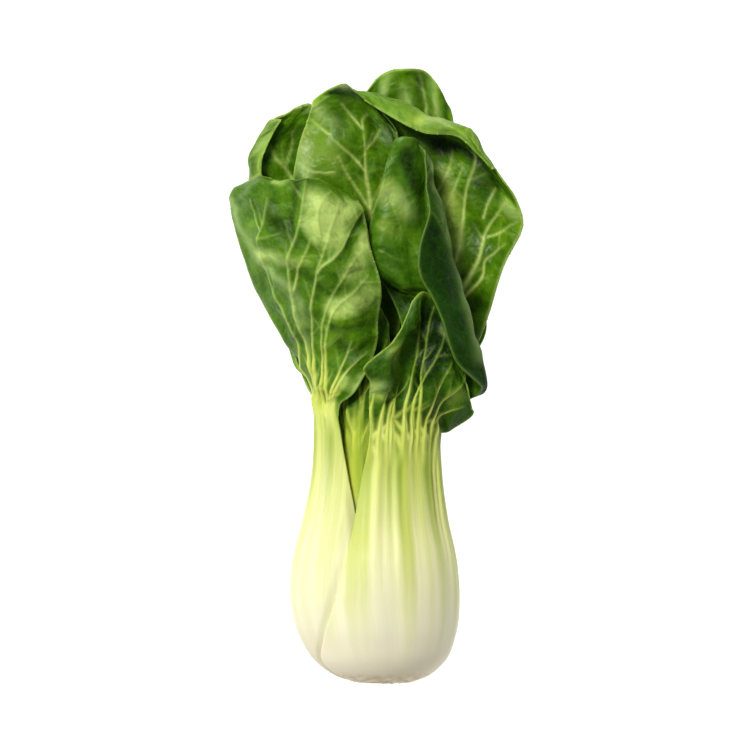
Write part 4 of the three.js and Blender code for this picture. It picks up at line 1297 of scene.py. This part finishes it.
            [(14.5, 131.5, 48.5), (27, 133, 40), (21, 133, 34.5), (15.5, 132.5, 36), (10.5, 131.5, 38),
             (5.5, 132, 39), (0, 133, 37.5)],
            [(14, 140, 48), (25, 141.5, 39.5), (19, 142, 34.5), (13, 142, 37), (8, 142, 39),
             (2.5, 141.5, 39.5), (-2.5, 140.5, 37.5)],
            [(17, 151.5, 45.5), (22.5, 152.5, 39), (17, 152.5, 35), (12.5, 152.5, 37), (8, 152.5, 39.5),
             (3.5, 151.5, 40), (-1, 150, 38)],
            [(16.5, 160, 43), (20, 161, 38.5), (16, 161.5, 35.5), (12.5, 161.5, 38), (8.5, 161, 40.5),
             (4.5, 160, 41), (1, 157.5, 39.5)],
            [(16.5, 166.5, 41), (18, 168.5, 38), (15.5, 170, 37), (12.5, 170.5, 39), (9, 170.5, 41),
             (6, 169.5, 41.5), (3.5, 167, 40.5)],
            [(16, 171, 39.5), (15.5, 173, 38.5), (13.5, 175, 38.5), (12, 176, 39.5), (10, 176.5, 41),
             (8, 176, 41), (6.5, 174, 40.5)],
        ],
        wave=(0.7, 3, 2.4), tip=0.3, spacing=0.5, seed=15, skin=Skin.INNER_DARK,
        held=(
            (0.4, ((18, 152), (21.5, 146.5), (24.5, 140))),
            (0.4, ((4, 158), (6.5, 150.5), (9, 145.5), (12.5, 141.5))),
            (0.3, ((1.5, 140.5), (5.5, 138), (9, 137), (12.5, 137))),
            (0.3, ((1, 148.5), (4, 146.5), (7, 144))),
        ),
        painted_sheen=(
            (2.4, ((16.5, 172.5), (18.5, 165), (21, 157), (23.5, 145.5), (26.5, 136), (29.5, 125.5),
              (32, 115), (33.5, 105))),
            (2.6, ((3, 158.5), (7.5, 157), (10.5, 152))),
        ),
        shade_and_highlight_spots=(
            (4, -0.8, ((2.5, 160), (7, 157), (9.5, 152))), (3, -0.5, ((2.5, 148.5), (6.5, 145))),
            (3.5, 0.8, ((10, 169.5), (12, 161.5), (13.5, 152))),
            (5, 1, ((0.5, 127), (6, 124.5), (11, 124))), (3, 0.3, ((6, 135.5), (11, 136.5))),
            (5, 0.7, ((17.5, 147), (19.5, 137.5), (22.5, 127.5))),
        ),
    ),
    Leaf(
        "right_hooded", Ring.MIDDLE,
        span_from=[(0, 118), (88, 118)],
        span_to=[(0, 164), (88, 164)],
        upper_rows=(74, 88),
        rows=[
            [(30.5, 106, 19), (25.5, 107, 18), (20, 106.5, 17), (15, 106, 16.5), (11, 105, 16.5)],
            [(36.5, 120, 23), (30, 122, 22.5), (22.5, 122.5, 21.5), (15, 121.5, 20), (10, 120.5, 19)],
            [(41.5, 135.5, 29), (34, 137.5, 25.5), (25, 138.5, 23.5), (16.5, 137.5, 22), (8, 136, 20.5)],
            [(47.5, 148.5, 33), (38, 152.5, 28), (27, 154, 25), (16.5, 153, 23.5), (6, 151, 22)],
            [(44.3, 159.2, 34), (36, 166, 30), (26, 169, 26.5), (14.5, 168.5, 24), (3, 166, 23)],
            [(39.5, 166, 36), (32.5, 174, 31.5), (21.5, 179, 28), (9, 183, 25.5), (-2, 184.5, 25)],
            [(38.5, 167, 38), (28.3, 179.8, 37), (16, 185, 34.5), (4.5, 191, 32.5), (-7, 192.4, 28)],
            [(37.5, 166.5, 39), (27.3, 178.3, 41), (15.5, 181.5, 41), (4.5, 187, 40), (-7, 191.5, 29)],
            [(37, 165.5, 39.2), (26.8, 176.3, 41), (15.5, 178, 41.5), (5, 183, 41), (-6.5, 190.5, 30)],
        ],
        ribs=2, wave=(0.8, 3.5, 0.9), tip=0.3, spacing=0.55, seed=16,
        held=(
            (0.5, ((20, 159.5), (22.5, 164), (24.5, 169.5), (25, 173.5))),
            (0.4, ((22, 153), (24, 157), (26.5, 162.5), (28.5, 168))),
            (0.9, ((26.5, 137), (27.5, 144), (28.5, 152), (29.5, 160), (31.5, 166.5), (33, 173))),
            (1.3, ((28, 127.5), (30.5, 132.5), (33.5, 137.5), (34.5, 141.5), (35, 145.5), (36.5, 148.5),
              (40, 153), (43, 157))),
            (0.8, ((29, 125.5), (32.5, 129.5), (35, 132.5), (35.5, 137), (38, 139.5), (42.5, 143))),
            (0.5, ((36, 145), (39.5, 146), (43, 148), (46.5, 150))),
            (0.4, ((35, 151), (36.5, 156), (38.5, 160.5))),
        ),
        painted_sheen=(
            (2, ((17.5, 181.5), (24, 183), (21, 180))), (2, ((42, 155), (44, 152.5), (47, 152))),
        ),
        shade_and_highlight_spots=(
            (2.2, -0.55, ((6.5, 190.5), (13, 186), (21, 182), (30.5, 176), (38, 166))),
            (4, -0.65, ((24.5, 156), (25.5, 144), (28, 137))),
            (1.6, -0.9, ((12, 181.5), (18, 183), (24, 181))),
            (3, 1, ((20, 174.5), (25.5, 175), (32, 170), (38.5, 161.5))),
            (3, -0.7, ((22, 166), (23.5, 157), (24.5, 148.5))),
            (3.5, -0.7, ((43.5, 155), (45.5, 151.5))), (2, -0.5, ((28, 148.5), (27.5, 142.5))),
            (3, 0.5, ((32, 148.5), (31, 139))), (3, 0.6, ((33, 163), (36.5, 158))),
            (2, 0.8, ((33, 124), (36, 122.5))),
        ),
    ),
    Leaf(
        "top_back", Ring.MIDDLE,
        span_from=[(0, 171), (94, 171)],
        span_to=[(0, 214), (60, 211), (94, 202)],
        upper_rows=(76, 94),
        rows=[
            [(8.5, 110, 13), (4.5, 111, 12), (0, 111.5, 11.5), (-3.5, 111, 12), (-7.5, 110, 13)],
            [(13.5, 129.5, 13), (8, 131, 11), (2, 131.5, 10.5), (-3, 131, 11), (-7.5, 129.5, 12.5)],
            [(19, 152, 15), (12, 154, 12.5), (4.5, 155, 12), (-2, 154, 12), (-7.5, 152, 13.5)],
            [(24, 173, 18), (15.5, 175.5, 18), (7.5, 177, 18), (-0.5, 175.5, 17.5), (-7, 173, 18)],
            [(25, 182.5, 19.5), (17, 189.5, 22.5), (8.5, 191, 24), (1, 189.5, 23), (-5.5, 186.5, 22)],
            [(22.5, 189.5, 21), (17, 198, 25), (9, 199.5, 27), (2, 197.5, 26), (-3.5, 193, 24.5)],
        ],
        ribs=2, wave=(0.6, 2.5, 1), tip=0.4, spacing=0.8, seed=17,
        held=(
            (0.8, ((16, 176), (16.5, 186), (15.5, 193), (14, 198.5))),
            (0.4, ((10.5, 182.5), (10.5, 189), (9, 194))), (0.4, ((21, 178), (20, 185), (18.5, 191.5))),
        ),
        painted_sheen=(
            (2, ((21, 183), (19.5, 189), (18, 195))), (2, ((11, 185), (10, 189.5), (9, 193.5))),
            (1.6, ((2.5, 191.5), (3, 195), (4.5, 197))),
        ),
        shade_and_highlight_spots=(
            (2, 0.4, ((7.5, 197), (7, 190.5))), (2.5, 0.5, ((12.5, 197), (12.5, 186))),
            (1.5, 0.4, ((15.5, 195.5), (15.5, 183))), (2, -0.5, ((10, 195.5), (10, 187.5))),
            (2, -0.7, ((19, 195.5), (20, 184))), (2, -0.6, ((2.5, 196), (3.5, 193))),
            (1.5, 0.7, ((22, 191.5), (23, 183))),
        ),
    ),
    Leaf(
        "left_back", Ring.MIDDLE,
        span_from=[(0, 221), (60, 219), (88, 211)],
        span_to=[(0, 290), (60, 284), (88, 246)],
        upper_rows=(74, 88),
        rows=[
            [(-11.5, 107.5, 14), (-14.5, 108.5, 12.5), (-19, 108.5, 11.5), (-23.5, 107.5, 11.5),
             (-26.5, 104.5, 12), (-25.5, 103, 15.5)],
            [(-11.5, 124.5, 13), (-16, 126, 10.5), (-22, 126.5, 9), (-28, 125.5, 8), (-33.5, 123.5, 9),
             (-31, 122, 13)],
            [(-13.5, 144.5, 15), (-18, 146, 12.5), (-24.5, 146.5, 10.5), (-32, 145.5, 9),
             (-39, 144, 9.5), (-36.5, 143, 14)],
            [(-15.5, 164, 20), (-20.5, 166, 18), (-27.5, 166, 16), (-35, 164, 14), (-41, 162, 13),
             (-36.5, 161.5, 18.5)],
            [(-17, 175.5, 23), (-22.5, 177.5, 22), (-29, 176.5, 20), (-36, 174, 18), (-42, 169.5, 17.5),
             (-37, 171, 22.5)],
            [(-17.5, 182, 25), (-22, 184, 24.5), (-27.5, 183, 24), (-32.5, 180.5, 22), (-38, 177, 21),
             (-33.5, 179, 25.5)],
            [(-18, 187.5, 28), (-21.5, 189, 28), (-25.5, 187.5, 27.5), (-29.5, 185, 26),
             (-33.5, 182.5, 24), (-29.5, 184.5, 27)],
        ],
        wave=(0.7, 3, 0.2), tip=0.3, spacing=0.7, seed=18,
        held=(
            (0.6, ((-26.5, 163), (-29.5, 168), (-32.5, 171.5), (-34.5, 175.5))),
            (0.3, ((-29.5, 168), (-27.5, 174.5), (-27, 180))),
            (0.3, ((-34.5, 164), (-37.5, 167), (-38, 170.5))),
        ),
        painted_sheen=(
            (2, ((-20.5, 186.5), (-23.5, 188.5), (-25.5, 188))),
            (1.6, ((-38.5, 173), (-36, 178), (-33.5, 181.5))),
        ),
        shade_and_highlight_spots=(
            (2.5, 0.5, ((-40, 166), (-39, 174.5), (-34.5, 180), (-30, 184))),
            (5, 0.3, ((-27.5, 179.5), (-25.5, 173), (-27.5, 166.5))),
            (2.5, -0.1, ((-38, 176), (-35.5, 180), (-32, 182))),
            (2, -0.6, ((-21.5, 188), (-24.5, 188))), (2, -0.4, ((-36.5, 168), (-34, 166))),
        ),
    ),
    Leaf(
        "centre_tall", Ring.INNER,
        span_from=[(0, 145), (92, 140)],
        span_to=[(0, 235), (92, 235)],
        upper_rows=(80, 92),
        rows=[
            [(7, 107.5, 18.5), (3.5, 109.5, 17), (-1, 110.5, 17), (-5.5, 109.5, 17), (-10, 107.5, 18.5)],
            [(9, 127, 23.5), (4.5, 128.5, 22.5), (-1, 129.5, 22), (-10.5, 128.5, 22.5), (-18.5, 126, 24)],
            [(9, 143, 28.5), (4.5, 145, 27.5), (-1, 146, 26.5), (-12.5, 145, 27.5), (-24.5, 143, 27.5)],
            [(9.5, 160.5, 31), (4.5, 162.5, 31), (-2, 163, 31), (-14.5, 162, 33), (-26.5, 160, 30.5)],
            [(7.5, 173, 32), (2.5, 175, 32), (-3, 176, 32), (-13.5, 175, 34.5), (-24.5, 173, 31.5)],
            [(6, 180, 31.5), (1, 183, 31.5), (-4.5, 185.5, 32.5), (-13.5, 185, 35), (-21.5, 183, 32)],
            [(1, 186, 30.5), (-3.5, 189.5, 31.5), (-9, 193.5, 35.5), (-14, 192.5, 37.5),
             (-19, 189.5, 34.5)],
        ],
        rib=0.2, wave=(0.7, 3, 1.6), tip=0.15, spacing=0.55, seed=19,
        held=(
            (1.1, ((-0.5, 149), (-2, 154), (-2.5, 160), (-3.5, 166.5), (-4, 173), (-4.5, 179.5))),
            (0.5, ((-4.5, 179.5), (-7, 182.5), (-9, 185), (-11.5, 188))),
            (0.4, ((-4.5, 179.5), (-4.5, 182.5), (-2.5, 184.5))),
            (0.4, ((-2, 154), (-5, 158.5), (-8, 163), (-11, 168), (-12.5, 171.5))),
            (0.4, ((-3.5, 166), (-7.5, 170.5), (-11.5, 174), (-14.5, 177))),
            (0.3, ((-14.5, 177.5), (-18, 180), (-21, 183))),
            (0.3, ((-13.5, 166), (-17.5, 165.5), (-21, 166), (-24.5, 168.5))),
            (0.3, ((-3.5, 173), (-0.5, 176), (1.5, 179.5))), (0.3, ((-1, 152.5), (1, 158), (2, 164))),
        ),
        painted_sheen=(
            (2.4, ((-18.5, 186.5), (-16.5, 183), (-13.5, 181.5))),
            (2.2, ((-22.5, 173), (-23, 168), (-22, 164))), (1.5, ((-11, 193), (-6.5, 193), (-1, 191))),
        ),
        shade_and_highlight_spots=(
            (5, -0.6, ((-19.5, 187.5), (-17.5, 184))),
            (4, -0.4, ((-22, 178), (-22.5, 169.5), (-21, 164))),
            (5, -0.4, ((-15.5, 173), (-11.5, 165))),
            (4.5, 1, ((-14, 192.5), (-8, 192), (-2, 189.5), (2.5, 184))),
            (2.5, 0.6, ((-12.5, 183), (-12, 178))), (2.5, 0.5, ((-1.5, 182.5), (0, 173))),
            (3, 0.7, ((4, 182), (5.5, 175.5))),
        ),
    ),
    Leaf(
        "heart_front", Ring.MIDDLE,
        span_from=[(0, -52), (80, -46)],
        span_to=[(0, 4), (80, 6)],
        upper_rows=(80,),
        rows=[
            [(-10, 88.5, 30), (-6.5, 89.5, 32), (-2.5, 89.5, 32.5), (1, 88.5, 31)],
            [(-8.5, 101.5, 30), (-4.5, 102.5, 32.5), (0, 103, 32.5), (4, 102, 30.5)],
            [(-7.5, 112.5, 29.5), (-3.5, 113.5, 32), (0.5, 114, 32), (4.5, 113, 30)],
            [(-4, 120.5, 29), (-1.5, 122.5, 31), (1, 122.5, 31), (4, 121, 29.5)],
        ],
        ribs=2, wave=(0.3, 2, 0), tip=0.5, spacing=0.5, veins_a_side=2, crown=2.5, seed=20,
        slot="heart_blade", skin=Skin.HEART,
    ),
    Leaf(
        "heart_left", Ring.INNER,
        span_from=[(0, 262), (80, 264)],
        span_to=[(0, 345), (80, 342)],
        upper_rows=(80,),
        rows=[
            [(-11.5, 88.5, 24.5), (-10.5, 89.5, 26.5), (-8.5, 90.5, 28), (-6, 89.5, 29)],
            [(-14, 100.5, 24.5), (-11.5, 102, 26.5), (-8.5, 102.5, 28), (-5.5, 101.5, 28.5)],
            [(-15.5, 111.5, 24), (-12, 113, 26.5), (-8, 113, 28), (-5, 112.5, 28)],
            [(-12.5, 118.5, 25.5), (-10.5, 121, 27), (-8, 121, 27.5), (-6.5, 119.5, 27.5)],
        ],
        ribs=2, rib=0.2, wave=(0.3, 2, 1), tip=0.5, spacing=0.5, veins_a_side=2, seed=21,
        slot="heart_blade", skin=Skin.HEART,
    ),
]


@dataclass(frozen=True)
class StemBase:
    """The short core, cut across at the butt: a dry cream face with a ring of vascular bundles.

    Attributes:
        profile: the turned outline as (radius, distance from the butt), from the cut face inwards.
        cut_face: distance from the butt up to which the profile is the rough cut face.
        radius: radius of the cut face.
        centre_x: sideways place of its axis.
        butt: distance of the cut face's rim from the butt.
        bundles: number of vascular bundles.
        turns: number of points round the profile.
    """

    profile: tuple = ((0.0, 1.5), (3, 1.4), (5.5, 1.2), (7.4, 1.0), (8.3, 1.0), (8.6, 1.5), (8.1, 2.6),
                      (6.9, 5.2), (5.8, 8.2), (4.8, 11.5), (3.6, 15), (1.8, 19), (0.0, 20.0))
    cut_face: float = 1.6
    radius: float = 8.6
    centre_x: float = 2.6
    butt: float = 0.9
    bundles: int = 34
    turns: int = 72

    def ring(self, radius: np.ndarray, y: np.ndarray, angle: np.ndarray) -> np.ndarray:
        """Points round the axis of the core, flattened as the bulb is."""
        return np.stack([self.centre_x + radius * np.sin(angle), y,
                         AXIS_HEIGHT + BULB_DEPTH_RATIO * radius * np.cos(angle)], axis=1)

    def build(self, material: bpy.types.Material) -> bpy.types.Object:
        """Makes the core as one closed turned solid with an uneven cut face."""
        rng = np.random.default_rng(5)
        turns = self.turns
        angle = np.linspace(0, 2 * np.pi, turns, endpoint=False)
        points = [(self.centre_x, self.profile[0][1], AXIS_HEIGHT)]
        for radius, y in self.profile[1:-1]:
            wobble = 1 + 0.02 * np.sin(3 * angle + radius) + 0.012 * np.sin(7 * angle)
            rough = rng.uniform(-0.12, 0.12, turns) if y < self.cut_face else np.zeros(turns)
            points += self.ring(radius * wobble, y + rough, angle).tolist()
        points.append((self.centre_x, self.profile[-1][1], AXIS_HEIGHT))
        bands = len(self.profile) - 3
        faces = []
        for i in range(turns):
            j = (i + 1) % turns
            faces.append((0, 1 + i, 1 + j))
            for k in range(bands):
                low, high = 1 + k * turns, 1 + (k + 1) * turns
                faces.append((low + i, high + i, high + j, low + j))
            last = 1 + bands * turns
            faces.append((last + i, len(points) - 1, last + j))
        mesh = smooth_mesh("stem_base_core", np.array(points), faces)
        mesh.materials.append(material)
        mesh.update()
        piece = place_object("stem_base_core", mesh)
        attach(piece, "root")
        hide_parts("stem_base")
        return piece

    def dress(self, tree: bpy.types.NodeTree, material: bpy.types.Material) -> bpy.types.Object:
        """Sets the ring of vascular bundles into the cut face."""
        rng = np.random.default_rng(6)
        angle = np.linspace(0, 2 * np.pi, self.bundles, endpoint=False)
        angle = angle + rng.uniform(-0.06, 0.06, self.bundles)
        reach = self.radius * rng.uniform(0.62, 0.86, self.bundles)
        points = self.ring(reach, np.full(self.bundles, self.butt + 0.25), angle)
        start = place_object("stem_base_bundle_points", smooth_mesh("stem_base_bundles", points, []))
        piece = run_nodes(start, tree, "stem_base_bundles", {"Material": material, "Seed": 3})
        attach(piece, "root")
        return piece


@dataclass(frozen=True)
class PlainFinish:
    """A small surface of one tissue, with a soft change of tint that keeps it from looking painted."""

    name: str
    colour: str
    tint: str
    roughness: float
    speckle: float = 1 / 900

    def build(self) -> bpy.types.Material:
        """Makes the material."""
        material = new_material(self.name)
        tree = material.node_tree
        place = add(tree, "ShaderNodeTexCoord").outputs["Object"]
        tint = span(tree, noise(tree, place, self.speckle, 3.0), 0.35, 0.65)
        colour = blend(tree, tint, self.colour, self.tint)
        shader = add(tree, "ShaderNodeBsdfPrincipled", {
            "Base Color": colour, "Roughness": self.roughness, "IOR": 1.42})
        return finish_material(material, shader)


@dataclass(frozen=True)
class Stage:
    """A pale floor, soft light from the upper left, and the camera straight above.

    Attributes:
        floor_half: half the floor's width, in metres.
        floor_gap: how far the floor lies under the head, so that the two never share a face.
        camera_place: place of the camera.
        seen_width: width that the picture shows at the height of the head's axis.
        seen_from: distance of the camera from that height.
        sensor: width of the camera's sensor, in mm.
    """

    floor_half: float = 1.5
    floor_gap: float = 0.0004
    camera_place: tuple = (-0.0002, 0.0001, 1.3)
    seen_width: float = 0.242
    seen_from: float = 1.27
    sensor: float = 36.0

    def build(self) -> None:
        """Lays the floor, hangs the lights and sets the camera."""
        self.lay_floor()
        self.light("key", (-0.38, 0.5, 1.0), 0.36, 10.4, (1.0, 0.985, 0.96))
        self.light("fill", (0.7, -0.3, 0.8), 0.9, 0.5, (0.96, 0.98, 1.0))
        self.light("low_left", (-0.8, -0.1, 0.25), 0.4, 1.0)
        world = bpy.data.worlds.new("studio")
        world.use_nodes = True
        background = world.node_tree.nodes["Background"]
        background.inputs["Color"].default_value = (1, 1, 1, 1)
        background.inputs["Strength"].default_value = 0.2
        scene = bpy.context.scene
        scene.world = world
        scene.view_settings.view_transform = "Standard"
        scene.view_settings.look = "Medium High Contrast"
        data = bpy.data.cameras.new("camera")
        data.sensor_width = self.sensor
        data.lens = self.sensor * self.seen_from / self.seen_width
        scene.camera = place_object("camera", data)
        scene.camera.location = self.camera_place

    def lay_floor(self) -> None:
        """A floor that glows softly, so that it stays white and still takes the shadow."""
        half = self.floor_half
        mesh = bpy.data.meshes.new("floor")
        mesh.from_pydata([(-half, -half, 0), (half, -half, 0), (half, half, 0), (-half, half, 0)], [],
                         [(0, 1, 2, 3)])
        material = bpy.data.materials.new("white_floor")
        material.use_nodes = True
        shader = material.node_tree.nodes["Principled BSDF"]
        for name, value in (("Base Color", linear("8c8c8c")), ("Roughness", 0.9),
                            ("Emission Color", (1, 1, 1, 1)), ("Emission Strength", 0.84)):
            shader.inputs[name].default_value = value
        mesh.materials.append(material)
        floor = place_object("floor", mesh)
        floor.location.z = -self.floor_gap

    @staticmethod
    def light(name: str, place: tuple, size: float, power: float, colour: tuple = (1, 1, 1)) -> None:
        """A soft square light that faces the head."""
        data = bpy.data.lights.new(name, "AREA")
        data.energy, data.size, data.color = power, size, colour
        lamp = place_object(name, data)
        lamp.location = place
        lamp.rotation_euler = Vector(place).to_track_quat("Z", "Y").to_euler()


FINISHES = {
    Skin.OUTER_LIGHT: LeafFinish(
        "outer_light_leaf", ("2f5a08", "4a7812", "76a030"), ("2e5806", "48760a", "80a61c"), "bcd278",
        painted_highlight="cde486", bands=0.35,
        stalk=((0.0, "e8d6b0"), (0.07, "f0e6c8"), (0.2, "f1edd0"), (0.5, "efecc2"), (0.75, "e8e9a2"),
               (1.0, "ccd86a"))),
    # Painted shade: a darker copy of the outer finish, for the front right leaf, which lies in the shadow
    # of the folded leaf
    Skin.OUTER_DARK: LeafFinish(
        "outer_painted_shade_leaf", ("183a02", "2c5607", "55841a"), ("244a04", "3a660a", "66901f"), "a9c458"),
    Skin.INNER: LeafFinish(
        "inner_leaf", ("2a5400", "4a7a00", "86aa14"), ("547e16", "709a26", "98ba4a"), "c2d47c",
        contrast=1.0),
    # Painted shade: the inner finish with a far darker underside and fainter veins, for the folded leaf
    # whose outer face is turned from the light
    Skin.INNER_DARK: LeafFinish(
        "inner_painted_shade_leaf", ("2c5a06", "4c7c12", "7fa42e"), ("143602", "204a05", "33600e"), "8aa84e",
        contrast=0.45),
    # The heart's stalk is yellow-green as inner leaves are, and made paler still as painted light, since
    # it lies in the shade between the outer leaves
    Skin.HEART: LeafFinish(
        "heart_leaf", ("2a5604", "44780a", "78a624"), ("2f5e06", "4a7c0e", "7ca828"), "bfd462",
        stalk=((0.0, "eee9b8"), (0.3, "f0f0a0"), (0.7, "eef664"), (1.0, "d0e23c"))),
}

# Margins, paler than their blades: colour and tint; the two finishes with painted shade have darker
# margins, as painted shade too
MARGINS = {
    Skin.OUTER_LIGHT: ("a9c663", "8fb24a"),
    Skin.OUTER_DARK: ("9cbc55", "7ea03a"),
    Skin.INNER: ("a2c25c", "7fa640"),
    Skin.INNER_DARK: ("8eb04a", "6b9030"),
    Skin.HEART: ("b8d060", "98b840"),
}


def main() -> None:
    """Builds the head of bok choy, the stage and the camera."""
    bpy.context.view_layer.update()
    Stage().build()
    materials = {skin: finish.build() for skin, finish in FINISHES.items()}
    margins = {skin: PlainFinish(f"{skin.value}_margin", colour, tint, 0.42).build()
               for skin, (colour, tint) in MARGINS.items()}
    tree = margin_tree()
    for leaf in LEAVES:
        leaf.build(materials)
        leaf.dress(tree, margins[leaf.skin])
        LOG.info("leaf %s", leaf.name)
    base = StemBase()
    base.build(PlainFinish("cut_stem_face", "d9cda6", "b39c6c", 0.75).build())
    base.dress(bundle_tree(), PlainFinish("cut_stem_bundles", "9c8456", "7d6438", 0.7).build())
    LOG.info("stem base")
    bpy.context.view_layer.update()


if __name__ == "__main__":
    logging.basicConfig(level=logging.INFO, format="%(message)s")
    main()
